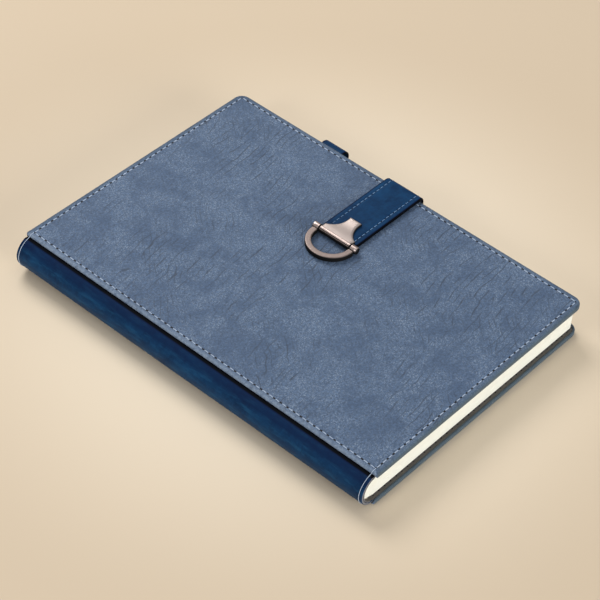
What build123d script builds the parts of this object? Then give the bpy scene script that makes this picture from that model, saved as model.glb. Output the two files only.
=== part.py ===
from build123d import *

import os
from math import atan2, cos, degrees, pi, radians, sin, sqrt

# Diary with a strap lock, in millimetres.
# The origin is the centre of the back cover's underside.
# +X runs from the spine to the fore edge, +Y from the tail to the head, +Z up from the table.

# Leaves and covers
LEAF_HEIGHT = 210.0       # head to tail of an A5 leaf
PAGE_MARGIN = 3.0         # how far the covers stand beyond the leaves
COVER_WIDTH = 149.0       # seam edge to fore edge
PANEL_THICK = 1.0         # outer covering of a cover
HIDE_THICK = 1.2          # spine and strap leather, and the board that lies flush with them
LINING_THICK = 0.7        # inner covering of a cover
PAPER_THICK = 0.2         # endpapers
RIM_WIDTH = 1.0           # turned edge of a panel, around its board
CORNER_RADIUS = 5.0       # fore-edge corners of the covers
SEAM_CORNER_RADIUS = 1.2  # spine-side corners of the panels
EDGE_ROUND = 0.8          # outer edges of the panels
FIT_CLEAR = 0.1           # ease around a piece in the pocket, notch or hole that holds it
COVER_AIR = 0.1           # between the closed front cover and the leaves

# Sewn leaves
SECTION_COUNT = 7
SECTION_THICK = 1.9
MULL_THICK = 0.3          # gauze glued over the folds
GLUE_GAP = 0.05           # either side of the gauze

# Spine leather and the crease that the front cover turns on
SPINE_SET_IN = 1.5        # the spine's arc is centred this far inside the seam edge
FLAP_TUCK = 12.0          # how far the spine leather runs under each panel
CREASE_OUT = 1.5          # the crease lies this far outside the seam edge
CREASE_GAP = 0.3          # between the leather on either side of the crease

# Strap
STRAP_WIDTH = 21.5
STRAP_Y = 0.8             # middle of the strap, buckle and magnets
STRAP_LINING_THICK = 1.0
STRAP_CLEAR = 0.3         # between the closed strap and the covers
STRAP_REACH = 48.5        # fore edge to the strap's end
STRAP_TAIL = 9.0          # length held inside the back cover
LOW_BEND_RADIUS = 0.8     # inner radius where the strap leaves the back cover
BEND_GAP = 0.3            # between the strap's panels at each bend
STRAP_END_RADIUS = 2.0

# Buckle
PLATE_ROOT_WIDTH = 18.7   # at the barrel
PLATE_TIP_WIDTH = 7.2
PLATE_LENGTH = 14.8       # barrel axis to tip
PLATE_SHOULDER = 2.9      # barrel axis to the start of the flare
PLATE_FLARE = 2.2         # how far the flared sides curve in
PLATE_THICK = 1.8
PLATE_EDGE_ROUND = 0.5
BARREL_RADIUS = 1.9
BARREL_CLEAR = 0.3        # between the barrel and the strap's end
PIN_RADIUS = 0.8
PIN_RUN = 0.05            # radial clearance of the ring on its pin
PIN_FIT = 0.02            # radial clearance of the pin in the plate's barrel
PIN_RECESS = 0.4          # the pin's ends lie this far inside the knuckles
KNUCKLE_LENGTH = 3.9
KNUCKLE_GAP = 0.25        # between the barrel and each knuckle
KNUCKLE_ROUND = 0.6
RING_BAND = 3.1           # width of the ring's band
RING_THICK = 2.8
RING_EDGE_ROUND = 0.8
RING_SET = 3.0            # barrel axis to the middle of the ring's arc
RING_DROP = 0.6           # the ring lies this far below the barrel axis
NECK_GAP = 0.4            # crevice between each knuckle and the ring's leg
NECK_SLIM = 0.5           # the neck in the crevice is this much slimmer all round
RIVET_RADIUS = 0.8
RIVET_HEAD_RADIUS = 1.7
RIVET_HEAD_THICK = 0.5
RIVET_SPACING = 9.6       # across the strap
RIVET_INSET = 2.2         # strap end to the rivets
RIVET_DEPTH = 0.9         # into the plate

# Magnets
MAGNET_RADIUS = 6.0
MAGNET_THICK = 1.0        # in the strap
MAGNET_INSET = 10.0       # strap end to the magnets' middle

# Pen loop
LOOP_RADIUS = 4.8         # outside
LOOP_THICK = 1.1
LOOP_WIDTH = 13.6
LOOP_Y = 50.4
LOOP_LIFT = 10.6          # middle of the loop above the table
LOOP_CLEAR = 0.4          # between the loop and the fore edge
LOOP_TAIL = 8.0           # length held inside the back cover

# Directions of a profile, in degrees from +X towards +Z
up = degrees(pi / 2)
down = degrees(3 * pi / 2)
mitre = up / 2            # middle of a square bend

# Places that follow from the sizes
cover_height = LEAF_HEIGHT + 2 * PAGE_MARGIN
cover_thick = PANEL_THICK + HIDE_THICK + LINING_THICK
seam_x = -COVER_WIDTH / 2
fore_x = COVER_WIDTH / 2
leaf_fore_x = fore_x - PAGE_MARGIN
pocket_x = fore_x - RIM_WIDTH
pocket_height = cover_height - 2 * RIM_WIDTH
filling_height = pocket_height - 2 * FIT_CLEAR
filling_x = pocket_x - FIT_CLEAR

back_hide_z = PANEL_THICK
back_lining_z = back_hide_z + HIDE_THICK
back_paste_z = cover_thick
back_fly_z = back_paste_z + PAPER_THICK
block_z = back_fly_z + PAPER_THICK
front_fly_z = block_z + SECTION_COUNT * SECTION_THICK
front_paste_z = front_fly_z + PAPER_THICK + COVER_AIR
front_lining_z = front_paste_z + PAPER_THICK
front_hide_z = front_lining_z + LINING_THICK
front_panel_z = front_hide_z + HIDE_THICK
top_z = front_panel_z + PANEL_THICK

spine = (seam_x + SPINE_SET_IN, top_z / 2)
spine_radius = top_z / 2 - PANEL_THICK
hide_inner_radius = spine_radius - HIDE_THICK
lining_inner_radius = hide_inner_radius - LINING_THICK
mull_radius = lining_inner_radius - GLUE_GAP
fold_radius = mull_radius - MULL_THICK - GLUE_GAP
flap_x = seam_x + FLAP_TUCK
crease = (seam_x - CREASE_OUT, top_z)
crease_angle = degrees(atan2(crease[1] - spine[1], crease[0] - spine[0]))
crease_half = degrees(CREASE_GAP / 2 / lining_inner_radius)
endpaper_x = spine[0] + SECTION_THICK / 2

bend_lining = STRAP_CLEAR + STRAP_LINING_THICK
bend_outer = bend_lining + HIDE_THICK
top_bend = (fore_x, top_z)
low_outer = LOW_BEND_RADIUS + HIDE_THICK
low_bend = (fore_x + bend_lining - LOW_BEND_RADIUS, back_lining_z + LOW_BEND_RADIUS)
strap_end_x = fore_x - STRAP_REACH
flap_lining_z = top_z + STRAP_CLEAR
flap_hide_z = top_z + bend_lining
flap_top_z = top_z + bend_outer

plate_top_z = flap_top_z + PLATE_THICK
barrel_x = strap_end_x - BARREL_CLEAR - BARREL_RADIUS
barrel_z = plate_top_z - BARREL_RADIUS
knuckle_y = PLATE_ROOT_WIDTH / 2 + KNUCKLE_GAP
ring_inner = knuckle_y
ring_outer = ring_inner + RING_BAND
ring_x = barrel_x - RING_SET
ring_z = barrel_z - RING_DROP - RING_THICK / 2
leg_x = barrel_x - BARREL_RADIUS - NECK_GAP
magnet_x = strap_end_x + MAGNET_INSET
rivet_x = strap_end_x + RIVET_INSET
rivet_ys = [STRAP_Y - RIVET_SPACING / 2, STRAP_Y + RIVET_SPACING / 2]

loop = (fore_x + LOOP_CLEAR + LOOP_RADIUS, LOOP_LIFT)
loop_bore = LOOP_RADIUS - LOOP_THICK

parts = {}


# Shared shapes

def patch(x_low, x_high, z_low, z_high):
    """Rectangle between two corners of a profile."""
    return Pos((x_low + x_high) / 2, (z_low + z_high) / 2) * Rectangle(x_high - x_low, z_high - z_low)


def bend(centre, r_inner, r_outer, start, end):
    """Part of a ring about a centre, between two angles."""
    outer = CenterArc(centre, r_outer, start, end - start)
    inner = CenterArc(centre, r_inner, start, end - start)
    return make_face([outer, Line(outer @ 1, inner @ 1), inner, Line(inner @ 0, outer @ 0)])


def along_spine(profile, length, middle=0.0):
    """Solid that carries an X-Z profile along Y."""
    return Pos(0, middle, 0) * extrude(Plane.XZ * profile, length / 2, both=True)


def sheet(x_low, x_high, height, z_low, thick):
    """Flat rectangular layer."""
    width = x_high - x_low
    return Pos((x_low + x_high) / 2, 0, z_low + thick / 2) * Box(width, height, thick)


def fore_rounded(x_low, x_high, height, z_low, thick, radius):
    """Flat layer with rounded fore-edge corners."""
    layer = sheet(x_low, x_high, height, z_low, thick)
    return fillet(layer.edges().filter_by(Axis.Z).group_by(Axis.X)[-1], radius)


def disc(x, y, z_low, radius, thick):
    return Pos(x, y, z_low + thick / 2) * Cylinder(radius, thick)


def cross_pin(x, z, y_low, y_high, radius):
    """Round bar along Y."""
    bar = Rot(90, 0, 0) * Cylinder(radius, y_high - y_low)
    return Pos(x, (y_low + y_high) / 2, z) * bar


# Covers

def panel(front):
    """Covering of one cover: a shallow tray, open towards the spine."""
    z_low = top_z - cover_thick if front else 0.0
    tray = fore_rounded(seam_x, fore_x, cover_height, z_low, cover_thick, CORNER_RADIUS)
    tray = fillet(tray.edges().filter_by(Axis.Z).group_by(Axis.X)[0], SEAM_CORNER_RADIUS)
    outside = -1 if front else 0
    tray = fillet(tray.edges().group_by(Axis.Z)[outside], EDGE_ROUND)
    pocket_z = z_low if front else PANEL_THICK
    pocket_radius = CORNER_RADIUS - RIM_WIDTH
    depth = HIDE_THICK + LINING_THICK
    open_x = seam_x - RIM_WIDTH
    return tray - fore_rounded(open_x, pocket_x, pocket_height, pocket_z, depth, pocket_radius)


def filling(x_low, z_low, thick):
    """Layer that fits in a panel's pocket."""
    radius = CORNER_RADIUS - RIM_WIDTH - FIT_CLEAR
    return fore_rounded(x_low, filling_x, filling_height, z_low, thick, radius)


def tail_slot(width, middle, x_low, x_high):
    """Room for a leather tail between the back panel and its lining."""
    slot = patch(x_low, x_high, back_hide_z, back_lining_z)
    return along_spine(slot, width + 2 * FIT_CLEAR, middle)


strap_slot = (STRAP_WIDTH, STRAP_Y)
loop_slot = (LOOP_WIDTH, LOOP_Y)
board_x = flap_x + FIT_CLEAR

parts["front_panel"] = panel(front=True)
front_board = filling(board_x, front_hide_z, HIDE_THICK)
magnet_hole = disc(magnet_x, STRAP_Y, front_hide_z, MAGNET_RADIUS + FIT_CLEAR, HIDE_THICK)
parts["front_board"] = front_board - magnet_hole
parts["cover_magnet"] = disc(magnet_x, STRAP_Y, front_hide_z, MAGNET_RADIUS, HIDE_THICK)

back_panel = panel(front=False)
back_board = filling(board_x, back_hide_z, HIDE_THICK)
for slot, tail in ((strap_slot, STRAP_TAIL), (loop_slot, LOOP_TAIL)):
    back_panel -= tail_slot(*slot, filling_x, fore_x + RIM_WIDTH)
    back_board -= tail_slot(*slot, fore_x - tail - FIT_CLEAR, fore_x)
parts["back_panel"] = back_panel
parts["back_board"] = back_board

# Linings, and the leather tucked under the panels

turn_start = crease_angle + crease_half
turn_end = crease_angle - crease_half

flap_profile = bend(spine, hide_inner_radius, spine_radius, up, turn_end)
flap_profile += patch(spine[0], flap_x, front_hide_z, front_panel_z)
parts["front_hinge_flap"] = along_spine(flap_profile, filling_height)

front_lining = filling(spine[0], front_lining_z, LINING_THICK)
lining_turn = bend(spine, lining_inner_radius, hide_inner_radius, up, turn_end)
parts["front_lining"] = front_lining + along_spine(lining_turn, filling_height)
parts["back_lining"] = filling(spine[0], back_lining_z, LINING_THICK)

spine_profile = bend(spine, hide_inner_radius, spine_radius, turn_start, down)
spine_profile += patch(spine[0], flap_x, back_hide_z, back_lining_z)
parts["spine_leather"] = along_spine(spine_profile, filling_height)
spine_lining = bend(spine, lining_inner_radius, hide_inner_radius, turn_start, down)
parts["spine_lining"] = along_spine(spine_lining, filling_height)

# Endpapers and sewn leaves

def endpaper(z_low):
    return sheet(endpaper_x, leaf_fore_x, LEAF_HEIGHT, z_low, PAPER_THICK)


parts["front_pastedown"] = endpaper(front_paste_z)
parts["front_flyleaf"] = endpaper(front_fly_z)
parts["back_flyleaf"] = endpaper(back_fly_z)
parts["back_pastedown"] = endpaper(back_paste_z)

fold_round = SECTION_THICK / 2
fold_reach = fold_radius - fold_round
for index in range(SECTION_COUNT):
    z_low = block_z + index * SECTION_THICK
    fold_z = z_low + fold_round
    offset = abs(fold_z - spine[1])
    # The outermost folds stand over the middle of the spine's arc
    fold_x = spine[0] - sqrt(max(0.0, fold_reach**2 - offset**2))
    section = patch(fold_x, leaf_fore_x, z_low, z_low + SECTION_THICK)
    section += Pos(fold_x, fold_z) * Circle(fold_round)
    parts[f"page_section_{index + 1}"] = along_spine(section, LEAF_HEIGHT)

mull_end = up + down - turn_start
mull_profile = bend(spine, mull_radius - MULL_THICK, mull_radius, turn_start, mull_end)
parts["spine_mull"] = along_spine(mull_profile, LEAF_HEIGHT)

# Strap, cut at its two bends

def bend_cut(centre, angle):
    """Gap across the strap at the middle of a bend."""
    reach = 2 * bend_outer
    return Pos(*centre) * Rot(0, 0, angle) * Pos(reach / 2, 0) * Rectangle(reach, BEND_GAP)


low_cut = bend_cut(low_bend, -mitre)
top_cut = bend_cut(top_bend, mitre)
side_x = fore_x + bend_lining

tail_profile = patch(fore_x - STRAP_TAIL, low_bend[0], back_hide_z, back_lining_z)
tail_profile += bend(low_bend, LOW_BEND_RADIUS, low_outer, -up, -mitre)
parts["strap_tail"] = along_spine(tail_profile - low_cut, STRAP_WIDTH, STRAP_Y)

side_profile = bend(low_bend, LOW_BEND_RADIUS, low_outer, -mitre, 0)
side_profile += patch(side_x, side_x + HIDE_THICK, low_bend[1], top_z)
side_profile += bend(top_bend, bend_lining, bend_outer, 0, mitre)
parts["strap_side_outer"] = along_spine(side_profile - low_cut - top_cut, STRAP_WIDTH, STRAP_Y)

side_lining = patch(fore_x + STRAP_CLEAR, side_x, low_bend[1], top_z)
side_lining += bend(top_bend, STRAP_CLEAR, bend_lining, 0, mitre)
parts["strap_side_lining"] = along_spine(side_lining - top_cut, STRAP_WIDTH, STRAP_Y)


def strap_flap(z_low, z_high, r_inner, r_outer):
    """One layer of the strap over the front cover, with a rounded end."""
    profile = patch(strap_end_x, fore_x, z_low, z_high) + bend(top_bend, r_inner, r_outer, mitre, up)
    layer = along_spine(profile - top_cut, STRAP_WIDTH, STRAP_Y)
    return fillet(layer.edges().filter_by(Axis.Z).group_by(Axis.X)[0], STRAP_END_RADIUS)


magnet_z = flap_hide_z - MAGNET_THICK / 2
magnet_pocket = disc(magnet_x, STRAP_Y, magnet_z, MAGNET_RADIUS + FIT_CLEAR, MAGNET_THICK)
rivet_head_z = flap_hide_z - RIVET_HEAD_THICK
shank_length = flap_top_z + RIVET_DEPTH - flap_hide_z

flap_outer = strap_flap(flap_hide_z, flap_top_z, bend_lining, bend_outer) - magnet_pocket
flap_lining = strap_flap(flap_lining_z, flap_hide_z, STRAP_CLEAR, bend_lining) - magnet_pocket
rivets = []
for y in rivet_ys:
    flap_outer -= disc(rivet_x, y, flap_hide_z, RIVET_RADIUS + FIT_CLEAR, HIDE_THICK)
    flap_lining -= disc(rivet_x, y, rivet_head_z, RIVET_HEAD_RADIUS + FIT_CLEAR, RIVET_HEAD_THICK)
    head = disc(rivet_x, y, rivet_head_z, RIVET_HEAD_RADIUS, RIVET_HEAD_THICK)
    rivets.append(head + disc(rivet_x, y, flap_hide_z, RIVET_RADIUS, shank_length))
parts["strap_flap_outer"] = flap_outer
parts["strap_flap_lining"] = flap_lining
parts["strap_magnet"] = disc(magnet_x, STRAP_Y, magnet_z, MAGNET_RADIUS, MAGNET_THICK)
parts["buckle_rivets"] = Compound(children=[rivet.solid() for rivet in rivets])

# Buckle plate, with the barrel that holds the ring's pin

def plate_outline():
    """Plate in plan: square at the barrel, flared in to a narrow tip."""
    root = PLATE_ROOT_WIDTH / 2
    tip = PLATE_TIP_WIDTH / 2
    low_side = Line((0, -root), (PLATE_SHOULDER, -root))
    low_flare = SagittaArc(low_side @ 1, (PLATE_LENGTH, -tip), PLATE_FLARE)
    end = Line(low_flare @ 1, (PLATE_LENGTH, tip))
    high_flare = SagittaArc(end @ 1, (PLATE_SHOULDER, root), PLATE_FLARE)
    high_side = Line(high_flare @ 1, (0, root))
    return make_face([low_side, low_flare, end, high_flare, high_side, Line(high_side @ 1, low_side @ 0)])


plate = extrude(plate_outline(), PLATE_THICK)
plate_rim = plate.edges().group_by(Axis.Z)[-1].sort_by(Axis.X)[1:]
plate = Pos(barrel_x, STRAP_Y, flap_top_z) * fillet(plate_rim, PLATE_EDGE_ROUND)
barrel_half = PLATE_ROOT_WIDTH / 2
barrel_y = (STRAP_Y - barrel_half, STRAP_Y + barrel_half)
plate += cross_pin(barrel_x, barrel_z, *barrel_y, BARREL_RADIUS)
plate -= cross_pin(barrel_x, barrel_z, *barrel_y, PIN_RADIUS + PIN_FIT)
for y in rivet_ys:
    plate -= disc(rivet_x, y, flap_top_z, RIVET_RADIUS + PIN_FIT, RIVET_DEPTH)
parts["buckle_plate"] = plate

pin_half = knuckle_y + KNUCKLE_LENGTH - PIN_RECESS
parts["hinge_pin"] = cross_pin(barrel_x, barrel_z, STRAP_Y - pin_half, STRAP_Y + pin_half, PIN_RADIUS)

# Ring: a bow with two legs, each on a neck and a knuckle

def bow(radius):
    """Half disc in plan, with straight sides that end short of the barrel."""
    high, low = STRAP_Y + radius, STRAP_Y - radius
    arc = ThreePointArc((ring_x, high), (ring_x - radius, STRAP_Y), (ring_x, low))
    low_side = Line(arc @ 1, (leg_x, low))
    high_side = Line((leg_x, high), arc @ 0)
    return make_face([arc, low_side, Line(low_side @ 1, high_side @ 0), high_side])


ring = Pos(0, 0, ring_z) * extrude(bow(ring_outer) - bow(ring_inner), RING_THICK)
bow_edges = ring.edges().filter_by(Axis.Z, reverse=True) - ring.edges().group_by(Axis.X)[-1]
ring = fillet(bow_edges, RING_EDGE_ROUND)
neck_band = RING_BAND - 2 * NECK_SLIM
neck_thick = RING_THICK - 2 * NECK_SLIM
for side in (-1, 1):
    neck_y = STRAP_Y + side * (ring_inner + RING_BAND / 2)
    neck_length = barrel_x - leg_x + RING_EDGE_ROUND
    neck_x = (barrel_x + leg_x - RING_EDGE_ROUND) / 2
    neck = Pos(neck_x, neck_y, ring_z + RING_THICK / 2) * Box(neck_length, neck_band, neck_thick)
    ends = sorted([STRAP_Y + side * knuckle_y, STRAP_Y + side * (knuckle_y + KNUCKLE_LENGTH)])
    knuckle = cross_pin(barrel_x, barrel_z, *ends, BARREL_RADIUS)
    rims = knuckle.edges().filter_by(GeomType.CIRCLE).sort_by(Axis.Y)
    knuckle = fillet(rims[0] if side < 0 else rims[-1], KNUCKLE_ROUND)
    ring += neck + knuckle
    ring -= cross_pin(barrel_x, barrel_z, *ends, PIN_RADIUS + PIN_RUN)
parts["d_ring"] = ring

# Pen loop: one strip, both ends held in the back cover

neck_x = fore_x + LOOP_CLEAR
neck_wide = 2 * LOOP_THICK
loop_profile = Pos(*loop) * Circle(LOOP_RADIUS)
loop_profile += patch(neck_x, neck_x + neck_wide, back_hide_z, LOOP_LIFT)
loop_profile += patch(fore_x - LOOP_TAIL, neck_x + neck_wide, back_hide_z, back_lining_z)
loop_profile -= Pos(*loop) * Circle(loop_bore)
parts["pen_loop"] = along_spine(loop_profile, LOOP_WIDTH, LOOP_Y)

os.makedirs("parts", exist_ok=True)
for name, part in parts.items():
    export_step(part, f"parts/{name}.step")


# Hinge lines, for whoever joins the pieces

def on_bend(centre, radius, angle):
    """Point on the outside of a bend."""
    return centre[0] + radius * cos(radians(angle)), centre[1] + radius * sin(radians(angle))


hinge_lines = {
    "cover crease": crease,
    "strap low bend": on_bend(low_bend, low_outer, -mitre),
    "strap top bend": on_bend(top_bend, bend_outer, mitre),
    "ring pin": (barrel_x, barrel_z),
    "pen loop": loop,
}
for name, (x, z) in hinge_lines.items():
    print(f"{name}: x {x:.4f}, z {z:.4f}")
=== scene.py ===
import math
import random
from functools import wraps

import bmesh
import bpy
import numpy as np
from bpy.props import FloatProperty, FloatVectorProperty, IntProperty, PointerProperty
from mathutils import Matrix, Vector, noise


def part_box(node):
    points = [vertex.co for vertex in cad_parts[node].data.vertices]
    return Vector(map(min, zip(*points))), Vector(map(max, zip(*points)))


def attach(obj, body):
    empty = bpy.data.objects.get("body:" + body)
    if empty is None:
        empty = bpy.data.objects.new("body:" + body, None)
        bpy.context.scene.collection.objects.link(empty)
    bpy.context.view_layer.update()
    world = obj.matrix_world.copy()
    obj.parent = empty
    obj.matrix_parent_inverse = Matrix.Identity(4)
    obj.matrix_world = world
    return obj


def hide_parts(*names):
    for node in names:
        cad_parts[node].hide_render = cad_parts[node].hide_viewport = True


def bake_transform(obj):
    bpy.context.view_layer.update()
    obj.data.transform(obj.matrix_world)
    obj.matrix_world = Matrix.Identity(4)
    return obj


bl_info = {
    "name": "Diary with a strap lock",
    "version": (1, 0, 0),
    "blender": (4, 5, 0),
    "location": "3D View > Sidebar > Diary",
    "description": "Dresses the solids of a sewn diary: covers, spine, leaves, strap, buckle and stitching",
    "category": "Add Mesh",
}

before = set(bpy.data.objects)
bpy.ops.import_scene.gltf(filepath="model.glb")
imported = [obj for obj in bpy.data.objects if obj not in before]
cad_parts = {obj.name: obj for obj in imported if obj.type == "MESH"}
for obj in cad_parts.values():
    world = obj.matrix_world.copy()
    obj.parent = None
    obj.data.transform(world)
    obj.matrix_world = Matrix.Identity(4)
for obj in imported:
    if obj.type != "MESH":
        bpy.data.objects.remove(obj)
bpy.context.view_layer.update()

MM = 0.001


def box_mm(node):
    """Lowest and highest corner of a solid, in millimetres."""
    low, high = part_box(node)
    return np.array(low) / MM, np.array(high) / MM


# Places read from the solids, in millimetres
front_low, front_high = box_mm("front_panel")
back_low, back_high = box_mm("back_panel")
seam_x, tail_y = front_low[:2]
fore_x, head_y = front_high[:2]
top_z = front_high[2]
cover_thick = top_z - front_low[2]
panel_thick = top_z - box_mm("front_board")[1][2]

hide_low, hide_high = box_mm("spine_leather")
back_board_low, back_board_high = box_mm("back_board")
# The boards lie flush with the leather and are as thick
hide_thick = back_board_high[2] - back_board_low[2]
spine_radius = top_z / 2 - panel_thick
spine = np.array([hide_low[0] + spine_radius, top_z / 2])
hide_end_y = hide_high[1]
flap_x = hide_high[0]
front_lining_low, front_lining_high = box_mm("front_lining")
back_lining_low, back_lining_high = box_mm("back_lining")
lining_thick = back_lining_high[2] - back_lining_low[2]
gauze_low, gauze_high = box_mm("spine_mull")
gauze_radius = spine[0] - gauze_low[0]

strap_low, strap_high = box_mm("strap_flap_outer")
strap_lining_low, strap_lining_high = box_mm("strap_flap_lining")
side_high = box_mm("strap_side_outer")[1]
tail_low = box_mm("strap_tail")[0]
strap_thick = strap_high[2] - strap_lining_high[2]
strap_lining = strap_lining_high[2] - strap_lining_low[2]
strap_y = (strap_low[1] + strap_high[1]) / 2
strap_half = (strap_high[1] - strap_low[1]) / 2

pin_low, pin_high = box_mm("hinge_pin")
barrel_x = (pin_low[0] + pin_high[0]) / 2
barrel_z = (pin_low[2] + pin_high[2]) / 2
pin_radius = (pin_high[2] - pin_low[2]) / 2
plate_low, plate_high = box_mm("buckle_plate")
plate_root = (plate_high[1] - plate_low[1]) / 2
barrel_radius = plate_high[2] - barrel_z
ring_low = box_mm("d_ring")[0]
loop_low, loop_high = box_mm("pen_loop")

# Covers, in millimetres; each point of an edge or face gives its inset and its depth
FORE_CORNER = 5.0
SEAM_CORNER = 1.2
SHARPEST_CORNER = 0.25
RIM_WIDTH = 1.0
OUTLINE_STEP = 0.6
TURNED_EDGE = [
    (1.05, panel_thick), (1.0, panel_thick + 0.1), (1.0, cover_thick - 0.2), (0.85, cover_thick - 0.04),
    (0.6, cover_thick), (0.36, cover_thick - 0.02), (0.13, cover_thick - 0.12), (0.0, cover_thick - 0.4),
    (0.0, 1.9), (0.0, 1.1),
]
FACE_ROUND = [(0.02, 0.8), (0.1, 0.5), (0.24, 0.26), (0.45, 0.1), (0.75, 0.02), (1.1, -0.03), (1.6, -0.04),
              (2.0, -0.03)]
FACE_GROOVE = [(inset, 0.0) for inset in (2.3, 2.5, 2.65, 2.8, 2.95, 3.1, 3.35)]
FACE_MIDDLE = [(3.7, -0.01), (4.6, -0.02), (6.5, 0.0), (10.0, 0.0), (16.0, 0.0)]
MIDDLE_LINE = 40.0
SEAM_SINK = 0.32
SEAM_SINK_WIDTH = 2.6
EDGE_STRIP_WIDTH = 2.5
SIDE_INSET = 0.2
GROOVE_WIDTH = 0.45
OUT_OF_GROOVE = 9.0
SWELL = 0.05
SWELL_START = 3.0
SWELL_FULL = 10.0
COVER_SWELL_SIZE = 34.0

# Linings, leaves and spine, in millimetres; each stop near the spine's end gives its place and its ease
LINING_CLEARANCE = 0.1
LINING_ROUND = 0.15
SHEET_CORNER = 0.6
SHEET_ROUND = 0.05
SPINE_SIDE_CORNER = 0.2
SMALLEST_ROUND = 0.02
TIGHTEST_FOLD = 0.004
FORE_UNEVEN = 0.12
END_UNEVEN = 0.1
GAUZE_THICK = 0.3
GLUE_CLEARANCE = 0.01
GLUE_INSET = 0.25
SPINE_SWELL_SIZE = 17.0
SWELL_PER_DEGREE = 0.4
SPINE_END_RUN = 3.0
SPINE_END_EASE = ((0.0, 0.24), (0.12, 0.1), (0.35, 0.03), (0.8, 0.0))
SEAM_DIP = 0.55
SEAM_DIP_OUT = 0.4
SEAM_DIP_WIDTH = 0.7
SEAM_DARK_OUT = 0.7
SEAM_DARK_WIDTH = 1.7
SPINE_SHADE_START = 0.5
SPINE_SHADE_RUN = 2.2
THREAD_PROUD = 0.1
THREAD_TURN_OUT = 0.75
THREAD_OVER_FACE = 0.06
THREAD_OVER_SEAM = ((1.9, 0.1), (1.1, 0.04), (0.5, -0.12), (0.08, -0.5), (-0.2, -0.95))

# Strap and pen loop, in millimetres; a dark edge gives its reach and the run it deepens over
LOW_BEND = 2.0
TOP_BEND_EASE = 1.4
STRAP_ROUND = 0.45
STRAP_CROWN = 0.1
STRAP_GROOVE = 0.16
STRAP_LINING_IN = 0.12
STRAP_LINING_ROUND = 0.35
STRAP_END_CORNER = 2.0
STRAP_END_STOPS = (1.6, 1.2, 0.8, 0.5, 0.25, 0.08)
STRAP_STEP = 0.8
STRAP_DARK_EDGE = (0.8, 0.6)
STRAP_THREAD = 0.16
STRAP_HOLE = 0.25
STRAP_SEWN_EARLY = 1.0
STRAP_SEWN_SHORT = 1.4
LOOP_RADIUS = 4.8
LOOP_THICK = 1.1
LOOP_BEND = 1.2
LOOP_TUCK = 1.6
LOOP_FOOT = 0.6
LOOP_EASE = 0.02
LOOP_ROUND = 0.4
LOOP_CROWN = 0.04
LOOP_STEP = 0.5
LOOP_DARK_EDGE = (0.7, 0.5)

# Buckle, in millimetres; the plate's edge drops this far at each inset
PLATE_START = 0.15
PLATE_SHOULDER = 2.9
PLATE_TIP_HALF = 3.6
PLATE_FLARE = 2.2
PLATE_EDGE_IN = np.array([0.0, 0.06, 0.3, 0.62, 0.85, 1.15])
PLATE_EDGE_DROP = np.array([0.72, 0.57, 0.37, 0.17, 0.05, 0.0])
PLATE_TIP_RUN = 1.3
PLATE_HOLLOW = 0.12
PLATE_HOLLOW_START = 1.5
PLATE_CROWN = 0.05
PLATE_SIDE = 0.5
# Past the first drop the plate's edge takes painted shade; about the second it takes a painted highlight
PLATE_SHADE_DROP = 0.45
PLATE_HIGHLIGHT_DROP = 0.12
CURL_DEPTH = 0.34
BARREL_ROUND = 0.16
BARREL_END = 0.4
BARREL_BORE = 0.02
BARREL_SHADE_TOP = 1.12
BARREL_SHADE_RUN = 0.2
SIDE_SHADE_TOP = 0.95
SIDE_SHADE_RUN = 0.5
RING_BAND = 3.1
RING_THICK = 2.8
RING_DROP = 0.6
RING_SET = 3.0
RING_ROUND = 0.4
RING_CROWN = 0.05
RING_SIDE = 0.3
RING_SHINE_IN = 0.6
RING_SHINE_WIDTH = 0.3
RING_BORE = 0.05
KNUCKLE_LENGTH = 3.9
KNUCKLE_GAP = 0.25
NECK_GAP = 0.4
NECK_IN = 0.5
NECK_ROUND = 0.3
NECK_STARTS = -0.6
NECK_TURNS = 0.3
NECK_STOPS = -0.2

# Stitches, in millimetres
STITCH_LEAN = 0.1
STITCH_SHIFT = 0.04
LINING_ROW_OUT = 0.3
LINING_STITCH_DEPTH = 0.02
BACK_STITCH_DEPTH = 0.08

# Stitches, as shares of their pitch, of the thread, of the needle hole or of the groove
STITCH_START = 0.16
STITCH_SPAN = 0.68
STITCH_AHEAD = 0.02
STITCH_ARCH = 1.5
STITCH_TIP = (0.8, 1.1)
STITCH_SUNK = 0.95
STITCH_WIDE = 1.15
STITCH_THIN = 0.72
HOLE_SIZE = (0.85, 1.1)
HOLE_OVAL = 0.85
END_THREAD = 0.64
LINING_STITCH = 0.7
GROOVE_WAVE = 0.3

# Rings of a needle hole: share of its radius, and lift in millimetres
HOLE_RINGS = ((1.0, -0.1), (1.0, 0.09), (0.72, 0.1), (0.3, 0.08))

# Shares of the way to a cover's middle line, of a rounding, of an ease and of the pen loop's thickness
FACE_INWARD = (0.2, 0.42, 0.65, 0.86)
ROUND_MIDDLE = 0.3
EASE_UNDER = 0.4
LOOP_TAIL_RISE = 0.75

# Shares of painted shade and of painted highlight, from none at 0 to full at 1; the ring's tone is how far
# its upper face is darkened
EDGE_SHADE = 0.62
SIDE_SHADE = 0.85
SPINE_SHADE = 0.42
RING_TONE = 0.25
RING_SHINE = 0.9

# Angles, in degrees
SPLIT_ANGLE = 140.0
SPINE_ROUND_ANGLE = 75.0
GAUZE_ANGLE = 72.5
FOLD_ANGLES = (262.0, 98.0)
CURL_ANGLE = 136.0
CURL_WIDTH = 4.6
CURL_EDGES = np.array([-6.2, -4.2, 4.2, 6.2])
LOOP_BACK_ANGLE = 205.0
FLAT_EDGE = 20.0


# Sizes and colours that a user may change

def length(name, description, default):
    """A length in metres, shown in the scene's units."""
    return FloatProperty(name=name, description=description, default=default, min=0.0, precision=5,
                         subtype="DISTANCE", unit="LENGTH")


def colour(name, description, default):
    return FloatVectorProperty(name=name, description=description, default=default, size=3, min=0.0,
                               max=1.0, subtype="COLOR")


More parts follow.
